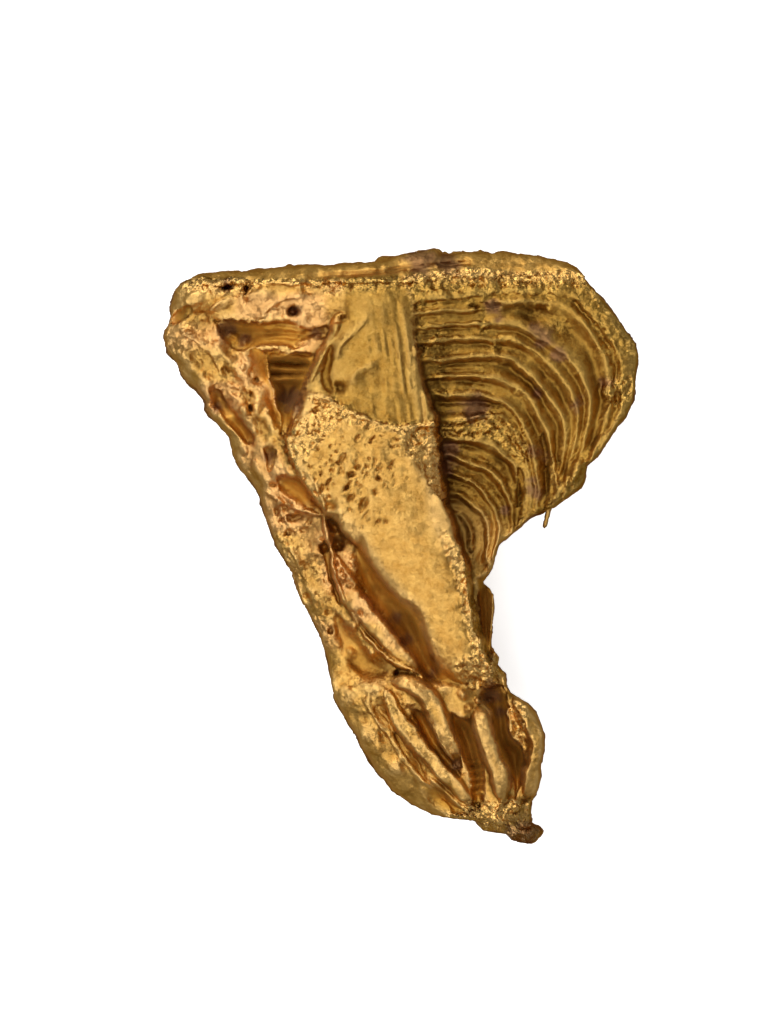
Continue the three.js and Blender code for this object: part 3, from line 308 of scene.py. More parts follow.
# What is cut into the face: an outline, its depth, and how far in from the outline the full depth is
# reached.
HOLLOWS = [
    ([[2.7, 3.55], [5, 3.75], [6.4, 3.7], [7.5, 4.1], [8.3, 3.95], [8.4, 4.6], [7.6, 4.7], [6.9, 5.1],
      [6.3, 4.85], [5.1, 5], [4.1, 5.2], [3.4, 4.9], [2.9, 4.3]], 0.8, 0.3),
    ([[2.85, 3.65], [4, 3.9], [5, 3.95], [5, 4.6], [4.3, 4.9], [3.7, 4.7], [3.1, 4.2]], 1.2, 0.4),
    ([[7.6, 4.1], [8.3, 4], [8.3, 4.5], [7.7, 4.5]], 1.0, 0.25),
    ([[5.1, 5.15], [5.4, 6.3], [5.75, 7.6], [6, 8.7], [6.1, 9.6], [6.3, 9.5], [6.6, 8.6], [6.95, 7.6],
      [7.3, 6.7], [7.75, 5.5], [7.2, 5.2], [6.4, 5.3], [5.6, 5.1]], 2.2, 0.6),
    ([[5.15, 10.1], [5.4, 9.95], [5.8, 10.1], [5.75, 10.6], [5.65, 11.1], [5.4, 11.2],
      [5.3, 10.7]], 1.0, 0.3),
    ([[5.75, 11.5], [6.3, 11.35], [6.9, 11.5], [7.4, 12.1], [7.75, 13], [7.2, 12.95],
      [6.3, 12.4]], 0.9, 0.45),
    ([[8.4, 13.2], [8.9, 13.4], [9.3, 14.2], [9.2, 15], [8.8, 15.2], [8.6, 14.2]], 0.4, 0.4),
    ([[13.1, 27], [13.7, 26.95], [14.4, 27.4], [15.1, 28], [15.6, 28.5], [14.9, 28.45], [14, 28.15],
      [13.4, 27.6]], 0.7, 0.4),
    ([[9.55, 15.2], [9.8, 14.65], [10.25, 14.5], [10.5, 15.4], [11.25, 16.5], [12.1, 17.4], [13, 18.1],
      [13.4, 19.2], [13.8, 20.4], [14.5, 21.2], [15.3, 21.9], [14.2, 22], [13.3, 21.5], [12.9, 21],
      [12.1, 20], [11.25, 18.8], [10.3, 17.6], [9.75, 16.4]], 1.3, 0.95),
    ([[11, 16.8], [11.8, 17.3], [12.6, 18.2], [13.1, 19.2], [13.5, 20.3], [13.5, 20.9], [12.9, 20.4],
      [12.2, 19.3], [11.5, 18]], 1.3, 0.6),
    ([[8.6, 18.3], [9.1, 18.4], [9.8, 19.3], [10.6, 20.3], [11.4, 21.1], [11, 21.6], [10, 21.4],
      [9.2, 20.7], [8.7, 19.6]], 0.5, 0.5),
    ([[12.5, 23.1], [13.1, 23.1], [13.5, 23.6], [13.9, 24.25], [14.1, 24.9], [14.5, 25.5], [15, 26.1],
      [14.9, 26.5], [14.25, 25.9], [13.5, 24.9], [12.9, 24]], 0.8, 0.35),
    ([[14.55, 25.3], [14.95, 25.3], [15.15, 25.95], [14.75, 25.95]], 0.9, 0.2),
    ([[11.65, 24.2], [11.95, 24.3], [12.35, 24.9], [12.8, 25.5], [13.3, 26.3], [13.5, 26.8], [13.1, 26.5],
      [12.4, 25.6], [11.9, 24.9]], 0.5, 0.22),
    ([[12.9, 26.7], [13.7, 26.9], [14.5, 27.7], [15.2, 28.5], [14.2, 28.35], [13.4, 27.7]], 0.5, 0.4),
    ([[14.5, 23.2], [15, 23.4], [15.55, 23.6], [15.9, 24.75], [16.15, 25.75], [16.3, 27], [16.2, 27.75],
      [15.9, 28], [15.6, 27.5], [15.5, 26.5], [15.3, 25.8], [15.05, 25.2], [14.75, 24.4]], 1.6, 0.5),
    ([[15.95, 22.5], [16.2, 22.1], [17.1, 21.9], [17.35, 22.4], [17.35, 23.2], [16.6, 23.2]], 1.3, 0.4),
    ([[16.5, 23], [17.3, 23.1], [17.5, 24.25], [18, 24.9], [18.25, 25.5], [18.1, 26.5], [17.9, 27.25],
      [17.72, 27.5], [17.7, 26.75], [17.4, 26.1], [17.05, 25.4], [16.75, 24.5]], 1.7, 0.45),
    ([[15.95, 16.6], [16.6, 16.6], [16.6, 20], [16.3, 20], [15.95, 18.5]], 1.2, 0.3),
]

# Slanting flanks: an outline, the edge that it slants down from, and its slope.
FLANKS = [
    ([[4.2, 5.2], [5.1, 5.15], [5.5, 6.8], [6, 8.6], [6.1, 9.35], [5.5, 8.5], [5.2, 7.35], [4.6, 6.4]],
      [[4.2, 5.2], [4.6, 6.4], [5.2, 7.35], [5.5, 8.5], [6.1, 9.35]], 1.3),
]

# Grooves: the line, half the width in the middle, the depth.
GROOVES = [
    ([[2.6, 7], [3.1, 7.8], [3.6, 8.5], [4.2, 9.3], [4.6, 9.9]], 0.33, 0.6),
    ([[4.35, 2], [4.3, 2.8]], 0.09, 0.3),
    ([[8.65, 4.9], [8.4, 6], [8.35, 6.6], [8.6, 7.3]], 0.24, 0.4),
    ([[8.2, 14.4], [8.45, 15.8], [8.75, 17], [9.1, 17.9]], 0.15, 0.6),
    ([[15.4, 2.95], [16.3, 2.9], [17.1, 2.88]], 0.14, 0.5),
    ([[19.15, 9.2], [19.35, 10.4], [19.3, 12.4]], 0.16, 0.5),
    ([[17.9, 10.9], [18.05, 11.8], [18.05, 12.9]], 0.18, 0.6),
    ([[0.6, 3.8], [1.1, 3.4], [1.7, 3.05]], 0.3, 0.6),
]

# What stands up again inside a hollow: the line, half the width, the height.
FLOOR_RIDGES = [
    ([[5.2, 4.05], [6.2, 4.05], [7.2, 4.25]], 0.14, 0.25),
    ([[5.2, 4.5], [6.2, 4.45], [7.2, 4.55]], 0.14, 0.25),
    ([[3.4, 4.3], [3.9, 4.5]], 0.18, 0.4),
    ([[6.9, 4.85], [7.5, 4.6], [8, 4.45]], 0.14, 0.4),
    ([[5.4, 5.5], [6.6, 5.55], [7.6, 5.7]], 0.22, 0.9),
    ([[5.5, 6.0], [6.6, 6.05], [7.4, 6.15]], 0.22, 0.8),
    ([[5.6, 6.5], [6.5, 6.5], [7.2, 6.6]], 0.22, 0.7),
    ([[6.9, 7], [6.6, 7.7], [6.4, 8.3]], 0.3, 0.5),
    ([[15.4, 25.75], [16.05, 25.65]], 0.13, 0.3),
    ([[15.45, 26.15], [16.1, 26.05]], 0.13, 0.3),
    ([[15.5, 26.55], [16.15, 26.45]], 0.13, 0.3),
    ([[15.55, 26.9], [16.2, 26.85]], 0.13, 0.3),
    ([[15.6, 27.3], [16.2, 27.25]], 0.13, 0.3),
]

# Patches of purple-brown tarnish: place, radius.
TARNISH = [
    ([19.3, 4.5], 0.5), ([18.8, 4.15], 0.35), ([19.9, 5.3], 0.4), ([16.6, 2.95], 0.5),
    ([16.9, 3.6], 0.25), ([22.3, 6.8], 0.4), ([18.95, 10.3], 0.5), ([18.7, 12.1], 0.5),
    ([17.2, 13.1], 0.3), ([20.8, 7.9], 0.4), ([18.8, 7.3], 0.35), ([15.7, 8.1], 0.8), ([14.6, 10.2], 0.6),
    ([14.2, 11], 0.4), ([3.4, 4.2], 0.5), ([4.2, 4.6], 0.4), ([7.8, 4.2], 0.3), ([6.5, 7.6], 0.7),
    ([3.3, 1.9], 0.3), ([6.75, 3.2], 0.25), ([5.4, 10.4], 0.4), ([2.9, 7.9], 0.35), ([11.8, 18.4], 0.4),
    ([12.3, 19.6], 0.35), ([13.7, 21.1], 0.4), ([16.6, 22.4], 0.6), ([17, 23.2], 0.4),
    ([14.9, 25.9], 0.35), ([13, 0.7], 0.9), ([14.3, 0.9], 0.6), ([18.4, 29.4], 1.0),
]

# Bosses and pits: place, radius, height, which is below nothing for a pit.
BOSSES = [
    ([1.6, 2.6], 0.9, 0.6), ([1.3, 4.9], 0.8, 0.4), ([4.25, 3.05], 0.5, 0.2), ([5.25, 2.35], 0.4, 0.2),
    ([4.25, 4.65], 0.2, 0.8), ([3.35, 1.95], 0.26, -0.9), ([4.35, 2], 0.17, -0.6),
    ([6.65, 3.25], 0.3, -0.8), ([4.9, 6.55], 0.13, -0.4), ([4.6, 7.3], 0.13, -0.4),
    ([4.55, 8], 0.4, 0.35), ([4.55, 8], 0.19, -0.8), ([2.85, 7.85], 0.28, -0.5), ([9, 7], 0.36, -0.5),
    ([10.4, 6.7], 0.8, -0.25), ([6.3, 13], 0.35, -0.5), ([6.65, 13.5], 0.3, -0.5),
    ([7, 13.35], 0.3, -0.45), ([8.1, 14.5], 0.3, 0.35), ([8.1, 14.5], 0.14, -0.4),
    ([8.25, 15], 0.24, -0.6), ([8.5, 12.85], 0.3, -0.35), ([8.8, 13.85], 0.35, -0.6),
    ([8.8, 14.85], 0.3, -0.5), ([8.75, 15.75], 0.13, -0.4), ([9.1, 16.1], 0.13, -0.4),
    ([9.25, 16.4], 0.13, -0.4), ([9.65, 18.9], 0.22, 0.35), ([9.5, 20.25], 0.25, 0.35),
    ([10.6, 20.25], 0.22, 0.3), ([8.5, 19.15], 0.15, -0.4), ([11.85, 21.3], 0.15, -0.8),
    ([8.65, 11.1], 0.13, -0.3), ([9.1, 11.25], 0.14, -0.25), ([9.6, 11.4], 0.17, -0.35),
    ([9.9, 11], 0.13, -0.3), ([10.9, 11.5], 0.12, -0.35), ([10.75, 12.25], 0.16, -0.3),
    ([10.15, 12.85], 0.24, -0.35), ([9.5, 12.5], 0.14, -0.3), ([11.25, 13.75], 0.12, -0.2),
    ([10.9, 13.75], 0.12, -0.2), ([15.1, 22.3], 0.3, 0.5), ([15.4, 23], 0.25, 0.4),
    ([15.9, 22.65], 0.13, 0.7), ([16.5, 22.6], 0.13, 0.7), ([17.15, 28.35], 1.1, 0.6),
    ([18.5, 29.3], 0.55, 0.9), ([17.8, 29.4], 0.4, 0.5), ([22.6, 7], 0.5, 0.4), ([22.3, 6.9], 0.5, -0.4),
    ([16.6, 21.6], 0.4, 0.4),
]

# A spike that hangs from the edge of the hopper: its line as [across, down, height], and its radii along
# it.
SPIKE = {
    "line": [[19.6, 12.2, 4.9], [19.55, 12.75, 4.8], [19.4, 13.4, 4.6], [19.25, 14.05, 4.5]],
    "radii": [0.25, 0.18, 0.12, 0.12],
}

# The underside: a belly with growth steps, ribs and grooves, worn flat in a small spot that it rests on.
BELLY = {"lowest": (12.05, 10.3), "worn": 0.12, "rise": 0.02, "rim": 6.0, "top_rim": 1.4, "top_height": 1.9,
         "leg": 1.3}
BACK_STEPS = {"first": 3.6, "apart": 1.5, "step": 0.34, "count": 8}
BACK_RIBS = [
    ([[12.6, 15], [13.8, 19], [15.8, 24], [17.9, 28.6]], 0.9, 0.6),
    ([[8.6, 13], [10, 17], [11.4, 21.5], [13, 25.5]], 0.7, 0.5),
    ([[15.6, 11], [18.2, 9.4], [21.4, 8.4]], 0.7, 0.5),
    ([[8.4, 8.6], [5.6, 6.8], [3, 4.8]], 0.7, 0.45),
]
BACK_GROOVES = [
    ([[10.6, 15.5], [12, 19.5], [13.8, 24], [15.6, 27.4]], 0.5, 0.9),
    ([[15.2, 8.6], [17.6, 6.4], [20, 3.8]], 0.5, 0.7),
    ([[9.6, 7.6], [8.4, 5], [7.6, 2.8]], 0.45, 0.6),
]

# Round the rim the face turns down steeply, and the belly turns up.
FACE_RIM = {"left": 0.35, "right": 0.28, "ledges": 1}

# Broad lumps, and how the lines waver, as the height and the size of each layer of grains.
LUMPS = {"size": 2.6, "wall": 0.2, "keel": 0.035, "back": 0.24}
WAVER = {"crests": ((0.09, 1.1), (0.06, 0.45)), "lines": ((0.07, 0.8), (0.04, 0.3)),
         "heights": ((0.45, 0.9), (0.25, 0.35)), "tarnish": ((0.9, 0.5), (0.6, 0.2))}

# Pores: the size of the cells that hold one each, their depth, and the reach of a pore, in cells.
BLADE_PITS = {"size": 0.5, "depth": 0.22, "reach": (0.1, 0.34), "between": 0.05}
SPONGE = {"size": 0.6, "depth": 0.3, "reach": (0.1, 0.5)}
CELLS_WITHOUT_PORE = 0.45

# Grains that swell the surface where it is rough: lumps, cracks between them, and crystals that are each
# tilted at random. Fine grains cover all of it.
SWELL = {"lumps": ((0.13, 1.0), (0.07, 0.5)), "cracks": 0.1, "crack_size": 0.42, "fine": ((0.05, 0.24),),
         "crystal_size": 0.33, "crystal": 0.05, "tilt": 0.1, "everywhere": ((0.018, 0.26),)}

# How calm a surface is: 0 where it is crumbly, 1 where it is worn smooth.
CALMNESS = {"usual": 0.6, "leg": 0.15, "patches": 0.25, "rib": 0.75, "fan": 0.9, "fan_patches": 0.5,
            "pitted": 0.3, "crust": 0.85, "rim": 0.6, "end": (0.85, 0.4), "back": 0.3}

# What is marked on the mesh for its material. The relief is the height above the mean of the cells around,
# which the material turns into a painted highlight on crests and painted shade in recesses. The hollow is
# how far the face is cut in, from 0 to 1, which brings in an amber stain and, where deepest, painted shade.
# The hue is 1 where the gold is olive and -1 where it is rosy.
MARKS = ("relief", "hollow", "calm", "hue", "tarnish")
RELIEF_CELLS = 7
PANEL_OLIVE = 0.8
SPIKE_MARKS = (0.1, 0, 0.95, 0.5, 0.2)
TARNISHED_END = (6.5, 8.5)


def along(points, x):
    """The value at x on the broken line through [x, value] points."""
    return np.interp(x, *np.transpose(points))


def smooth(x, low, high):
    """0 below low, 1 above high, and 3t^2 - 2t^3 of the share between them."""
    t = np.clip((x - low) / (high - low), 0, 1)
    return t * t * (3 - 2 * t)


def mix(first, second, share):
    """first where share is 0, second where it is 1, in proportion between."""
    return first + (second - first) * share


def rounded(line, steps=4):
    """A line through the same points with its corners rounded: a cubic between each two points, whose
    slope at each point is half the way from the point before it to the point after it."""
    points = np.array(line, float)
    padded = np.vstack([2 * points[0] - points[1], points, 2 * points[-1] - points[-2]])
    slope = (padded[2:] - padded[:-2]) / 2
    t = np.linspace(0, 1, steps, endpoint=False)[None, :, None]
    p0, p1, m0, m1 = (v[:, None, :] for v in (points[:-1], points[1:], slope[:-1], slope[1:]))
    curve = (2 * t**3 - 3 * t**2 + 1) * p0 + (t**3 - 2 * t**2 + t) * m0
    curve = curve + (3 * t**2 - 2 * t**3) * p1 + (t**3 - t**2) * m1
    return np.vstack([curve.reshape(-1, 2), points[-1:]])


def nearest(line, a, d, within=1e9):
    """How far each place is from a line, the share of the line's length at which the nearest point lies,
    and the side: +1 towards the inside of a line that turns clockwise as seen on the page. Places further
    away than within are left at that distance."""
    points = np.asarray(line, float)
    low, high = points.min(axis=0) - within, points.max(axis=0) + within
    near = (a > low[0]) & (a < high[0]) & (d > low[1]) & (d < high[1])
    pa, pd = a[near], d[near]
    best, share, side = np.full(pa.shape, np.inf), np.zeros(pa.shape), np.ones(pa.shape)
    for i, ((a0, d0), (a1, d1)) in enumerate(zip(points[:-1], points[1:])):
        ua, ud = a1 - a0, d1 - d0
        t = np.clip(((pa - a0) * ua + (pd - d0) * ud) / max(ua * ua + ud * ud, 1e-12), 0, 1)
        distance = np.hypot(pa - a0 - t * ua, pd - d0 - t * ud)
        nearer = distance < best
        best = np.where(nearer, distance, best)
        share = np.where(nearer, (i + t) / (len(points) - 1), share)
        side = np.where(nearer, np.sign(ua * (pd - d0) - ud * (pa - a0)), side)
    whole = np.full(a.shape, within), np.zeros(a.shape), np.ones(a.shape)
    for array, part in zip(whole, (np.minimum(best, within), share, side)):
        array[near] = part
    return whole


def depth_inside(outline, a, d):
    """How far each place lies inside a closed outline with rounded corners, and less than nothing outside
    it."""
    closed = rounded(outline + outline[:1], 3)
    distance, _, _ = nearest(closed, a, d, 1.0)
    within = np.zeros(a.shape, bool)
    for (a0, d0), (a1, d1) in zip(closed[:-1], closed[1:]):
        if d0 != d1:
            within ^= ((d0 > d) != (d1 > d)) & (a < (a1 - a0) * (d - d0) / (d1 - d0) + a0)
    return np.where(within, distance, -distance)


def taper(share):
    """1 in the middle of a line, falling to 0.15 at its two ends on a quarter of a circle each."""
    return np.clip(np.sqrt(np.clip(1 - (1 - 4 * np.minimum(share, 1 - share)).clip(0) ** 2, 0, 1)), 0.15, 1)


def unevenness(x, y, z, size, waves=7):
    """Uneven lumps of about the given size, between -1 and 1: sine waves in many directions, laid over
    each other."""
    total = 0.0
    for k in range(waves):
        tilt, turn = np.arccos(1 - (2 * k + 1) / waves), 2.4 * k
        reach = x * np.sin(tilt) * np.cos(turn) + y * np.sin(tilt) * np.sin(turn) + z * np.cos(tilt)
        total = total + np.sin(2 * np.pi * (1 + 0.13 * k) * reach / size + 1.7 * k * k)
    return total / np.sqrt(waves * 2)


def grain(x, y, z, size, seed, side=32):
    """Random lumps between -1 and 1: a random number at each corner of a cubic lattice of the given size,
    which repeats after so many on a side, blended between the corners by 3t^2 - 2t^3."""
    table = np.random.default_rng(seed).random((side, side, side)) * 2 - 1
    spot = [v / size for v in np.broadcast_arrays(x, y, z)]
    cell = [np.floor(v).astype(int) for v in spot]
    part = [v - c for v, c in zip(spot, cell)]
    part = [t * t * (3 - 2 * t) for t in part]
    total = 0.0
    for corner in product((0, 1), repeat=3):
        weight = 1.0
        for t, n in zip(part, corner):
            weight = weight * (t if n else 1 - t)
        total = total + weight * table[tuple((c + n) % side for c, n in zip(cell, corner))]
    return total


def grains(spot, layers, seeds):
    """Grains of several sizes laid over each other, each layer with its height, its size and its seed."""
    return sum(height * grain(*spot, size, seed) for (height, size), seed in zip(layers, seeds))


def scattered(x, y, z, size, seed, side=24):
    """The distance, in cells, from each place to the nearest of a scatter of points, one in each cubic
    cell of the given size, a random number that belongs to that point, and the height above it of a plane
    that is tilted at random through that point. The scatter repeats after so many cells on a side. A
    cell's seven random numbers are its point's place, that number and the plane's tilt."""
    table = np.random.default_rng(seed).random((side, side, side, 7))
    spot = [v / size for v in np.broadcast_arrays(x, y, z)]
    cell = [np.floor(v).astype(int) for v in spot]
    best, tag, plane = np.full(spot[0].shape, 9.0), np.zeros(spot[0].shape), np.zeros(spot[0].shape)
    for step in product((-1, 0, 1), repeat=3):
        there = [c + n for c, n in zip(cell, step)]
        random = table[tuple(c % side for c in there)]
        away = [v - c - random[..., n] for n, (c, v) in enumerate(zip(there, spot))]
        apart = sum(v * v for v in away)
        nearer = apart < best
        tag = np.where(nearer, random[..., 3], tag)
        height = sum(v * (2 * random[..., 4 + n] - 1) for n, v in enumerate(away))
        plane = np.where(nearer, height, plane)
        best = np.where(nearer, apart, best)
    return np.sqrt(best), tag, plane


def quarter_round(distance, radius):
    """0 at the rim and 1 from radius inwards, on a quarter of an ellipse."""
    out = 1 - np.clip(distance / radius, 0, 1)
    return np.sqrt(1 - out * out)


def ledged(share, count):
    """A rise from 0 to 1 broken into level treads and steep risers, by taking a sine wave from it."""
    return share - 0.9 * np.sin(2 * np.pi * count * share) / (2 * np.pi * count)


def rim_distance(a, d):
    """The distance from each place to the left or right edge, whichever is nearer."""
    lines = [[p[::-1] for p in edge] for edge in (LEFT_EDGE, RIGHT_EDGE)]
    return np.minimum(*(nearest(line, a, d, 7.0)[0] for line in lines))


def hopper_height(a, d):
    """Between each two nested crests the face drops steeply behind the outer one and rises slowly to the
    inner one."""
    plane = HOPPER["top"] - HOPPER["fall_right"] * (a - HOPPER["corner"][0])
    plane = plane - HOPPER["fall_down"] * np.maximum(d - HOPPER["corner"][1], -1)
    waver = grains((a, d, 0), WAVER["crests"], (3, 4))
    lines = [nearest(rounded(crest), a, d) for crest, _, _ in CRESTS]
    inside = [distance * side + waver for distance, _, side in lines]
    z = plane - CRESTS[0][1] - HOPPER["rim_fall"] * smooth(-inside[0], 0, 0.8)
    rightwards = smooth(a - 0.3 * d, *HOPPER["right"])
    split = HOPPER["split"] * (1 - rightwards) * (1 + HOPPER["uneven"] * grain(a, 2 * d, 0, 1.2, 7))
    for k, (_, drop, groove) in enumerate(CRESTS):
        last = k == len(CRESTS) - 1
        next_drop = drop if last else CRESTS[k + 1][1]
        gap = 1.0 if last else np.maximum(-inside[k + 1], 0)
        share = np.clip(inside[k] / np.maximum(inside[k] + gap, 1e-6), 0, 1)
        wide = np.clip((inside[k] + gap) / HOPPER["terrace"], 0, 1.2)
        deep = groove * (1 + HOPPER["deeper"] * rightwards) * wide
        deep = deep * (1 + HOPPER["uneven"] * grain(a, d, 3 * k, 1.1, 6))
        tread = plane - mix(drop, next_drop, smooth(share, 0, 0.5))
        tread = tread - deep * (0.5 - 0.5 * np.cos(2 * np.pi * share**0.8))
        tread = tread - split * wide * np.sin(2 * np.pi * share) ** 2
        z = np.where(inside[k] > 0, tread, z)
    return z


def blurred(z, cells):
    """The sheet's heights averaged over squares of cells, three times over."""
    for _ in range(3):
        for axis in (0, 1):
            ends = [(cells + 1, cells) if n == axis else (0, 0) for n in (0, 1)]
            total = np.cumsum(np.pad(z, ends, mode="edge"), axis=axis)
            size = 2 * cells + 1
            kept = total.shape[axis] - size
            z = (np.take(total, range(size, size + kept), axis) - np.take(total, range(kept), axis)) / size
    return z


def strokes(lines, a, d, within=1.0):
    """For each line of a table: how far each place is from it, up to within halves of its width, its
    taper, the side that the place lies on, and what else the table says of the line."""
    for line, half, *said in lines:
        distance, share, side = nearest(rounded(line), a, d, within * half)
        yield distance, taper(share), side, half, *said


def humps(lines, a, d):
    """Low rounded ribs: their height times 1 - r^2, where r is the distance in halves of their width."""
    drawn = strokes(lines, a, d)
    return sum(height * thin * (1 - (distance / half) ** 2) for distance, thin, _, half, height in drawn)


def trenches(lines, a, d):
    """Grooves with steep banks: their depth times 1 - r^3, where r is the distance in halves of their
    width."""
    deepest = np.zeros(a.shape)
    for distance, thin, _, half, depth in strokes(lines, a, d):
        t = np.clip(distance / (half * thin), 0, 1)
        deepest = np.maximum(deepest, depth * thin * (1 - t**3))
    return deepest


def pores(kind, u, v, seed):
    """Pits in a scatter of cells: 1 in the middle of each, falling to 0 at its reach, times its depth."""
    near, tag, _ = scattered(u, v, 0, kind["size"], seed)
    return kind["depth"] * (tag > CELLS_WITHOUT_PORE) * (1 - smooth(near, *kind["reach"]))


def wavering_places(a, d):
    """The places moved a little by grains, so that the lines drawn on them waver."""
    return (v + grains((a, d, 0), WAVER["lines"], (11 + n, 13 + n)) for n, v in enumerate((a, d)))


def face_zones(a, d):
    """How far each place lies past the keel's left and right edges, and from 0 to 1 how much it belongs to
    the keel, to the panel on it, to the pitted part of the blade below the panel, and to the terraces."""
    foot = along(PANEL_FOOT, a) + 0.08 * grain(a, d, 0, 0.5, 8)
    wavering = along(KEEL_RIGHT, d) + 0.1 * grain(0.4 * a, d, 0, 0.4, 10)
    past_left, past_right = a - along(KEEL_LEFT, d), a - wavering
    keel = smooth(past_left, -0.15, 0.15) * (1 - smooth(past_right, -0.08, 0.16))
    from_corner = 0.55 * (a - 6.5) + 0.45 * (d - 9.5)
    return {
        "past_left": past_left,
        "past_right": past_right,
        "keel": keel,
        "panel": smooth(foot - d, -0.05, 0.08),
        "pitted": keel * smooth(d - foot, 0.1, 0.5) * (1 - smooth(from_corner, 2.6, 5)),
        "terraces": smooth(past_right, 0, 0.4) * smooth(depth_inside(FAN, a, d), -0.2, 0.6),
    }


def large_forms(a, d, zone):
    """A wall, a keel and a hopper side by side, blended at the keel's two edges, which pass into the
    leg's dome."""
    left, right = along(LEFT_EDGE, d), along(RIGHT_EDGE, d)
    keel_left, keel_right = along(KEEL_LEFT, d), along(KEEL_RIGHT, d)
    wall_share = np.clip((a - left) / (keel_left - left), 0, 1)
    wall = mix(along(LEFT_SHOULDER, d), along(LEFT_OF_KEEL, d), np.sqrt(wall_share))
    keel_share = np.clip((a - keel_left) / (keel_right - keel_left), 0, 1)
    keel = along(KEEL_TOP, d) + KEEL["dome"] * np.sin(np.pi * keel_share**0.8)
    keel = keel - KEEL["left_fall"] * (1 - keel_share) * smooth(d, 12, 16)
    joined = KEEL["hopper_joined"] * (1 - smooth(a - keel_right, 0, 3)) * (1 - smooth(d, 4, 9))
    below_keel = mix(*KEEL["above_hopper"], smooth(d, 3, 9))
    hopper = np.minimum(hopper_height(a, d) + joined, keel - below_keel)
    shoulder = along(BLADE_SHOULDER, d)
    bevel = KEEL["shoulder_fall"] * np.clip((a - shoulder) / (keel_right - shoulder + 0.2), 0, 1)
    keel = keel - np.where((d > BLADE_SHOULDER[0][0]) & (d < BLADE_SHOULDER[-1][0]), bevel, 0)
    keel = keel - KEEL["panel_sunk"] * zone["panel"] * smooth(d, 3, 8)
    striations = smooth(a, 9.6, 11.4) * grain(6 * (a - 0.12 * d), 0.6 * d, 0, 1.0, 9)
    keel = keel + KEEL["striation"] * zone["panel"] * striations
    z = mix(wall, keel, smooth(zone["past_left"], -0.15, 0.25))
    z = mix(z, hopper, ledged(smooth(zone["past_right"], -0.1, 0.4), 3))

    spread = np.abs(a - (left + right) / 2) / np.maximum(0.5 * (right - left), 0.1)
    leg = along(LEG_TOP, d) - LEG_DOME * spread * spread
    return mix(z, leg, smooth(d, *LEG_STARTS))


def standing(a, d, wa, wd):
    """What stands up from the face: plates with level tops, ridges of (1 - r^2)^1.5, and ledges that rise
    to the line of their step from both sides."""
    uneven = 1 + grains((a, d, 0), WAVER["heights"], (15, 16))
    z = 0.0
    for distance, thin, _, half, height in strokes(PLATES, wa, wd):
        z = z + height * thin * (1 - smooth(distance / (half * thin), 0.45, 1))
    for distance, thin, _, half, height in strokes(RIDGES, wa, wd, 1.5):
        t = np.clip(distance / (half * thin * mix(1, uneven, 0.6)), 0, 1)
        z = z + height * thin * uneven * (1 - t * t) ** 1.5
    for distance, thin, side, left_reach, right_reach, height in strokes(LEDGES, wa, wd, 6.0):
        t = np.clip(distance / np.where(side < 0, left_reach, right_reach), 0, 1)
        z = z + height * thin * uneven * (1 - smooth(t, 0, 1))
    return z


def cut_away(a, d, wa, wd):
    """What is cut into the face: hollows whose banks rise by sin^1.5, slanting flanks and grooves, the
    deepest at each place, with the deep banks smoothed."""
    cut = trenches(GROOVES, wa, wd)
    for outline, depth, bank in HOLLOWS:
        share = np.clip((depth_inside(outline, wa, wd) + 0.04) / bank, 0, 1)
        cut = np.maximum(cut, depth * np.sin(np.pi / 2 * share) ** 1.5)
    for outline, edge, slope in FLANKS:
        inside = depth_inside(outline, wa, wd) > -0.03
        cut = np.maximum(cut, np.where(inside, slope * nearest(rounded(edge), wa, wd, 3.0)[0], 0))
    cut = mix(cut, blurred(cut, 3), smooth(cut, 0.25, 0.8))
    return cut * (1 + 0.2 * grain(a, d, 0, 0.7, 19))


def face_height(a, d):
    """The height of the face: its large forms, what stands up from them, less what is cut into them, with
    its bosses, lumps and pores. Its marks come with it."""
    wa, wd = wavering_places(a, d)
    zone, cut = face_zones(a, d), cut_away(a, d, wa, wd)
    z = large_forms(a, d, zone) + standing(a, d, wa, wd) - cut + humps(FLOOR_RIDGES, wa, wd)
    for (at_a, at_d), radius, height in BOSSES:
        z = z + height * np.exp(-1.5 * ((wa - at_a) ** 2 + (wd - at_d) ** 2) / radius**2)
    lumps = LUMPS["wall"] * (1 - 0.7 * smooth(zone["past_left"], 0, 4))
    z = z + mix(lumps, LUMPS["keel"], zone["keel"]) * unevenness(a, d, 0, LUMPS["size"])
    long_ways = (a + d, 0.45 * (a - d)), (2 * a, 0.8 * d), (a - 1.4 * d, 0.6 * a + 0.4 * d)
    for seed, (u, v) in enumerate(long_ways, 23):
        z = z - zone["pitted"] * pores(BLADE_PITS, u + 0.3 * wa, v + 0.3 * wd, seed)
    z = z + zone["pitted"] * BLADE_PITS["between"] * grain(a, d, 0, 0.3, 26)
    spongy = (1 - smooth(zone["past_left"], -1.5, -0.6)) * smooth(d, 5, 7) * (1 - smooth(d, 18, 20))
    spongy = spongy * (1 - smooth(cut, 0, 0.2))
    z = z - spongy * pores(SPONGE, a + 0.4 * d + 2 * (wa - a), d - 0.3 * a + 2 * (wd - d), 27)
    return z, *face_marks(a, d, wa, wd, zone, cut)


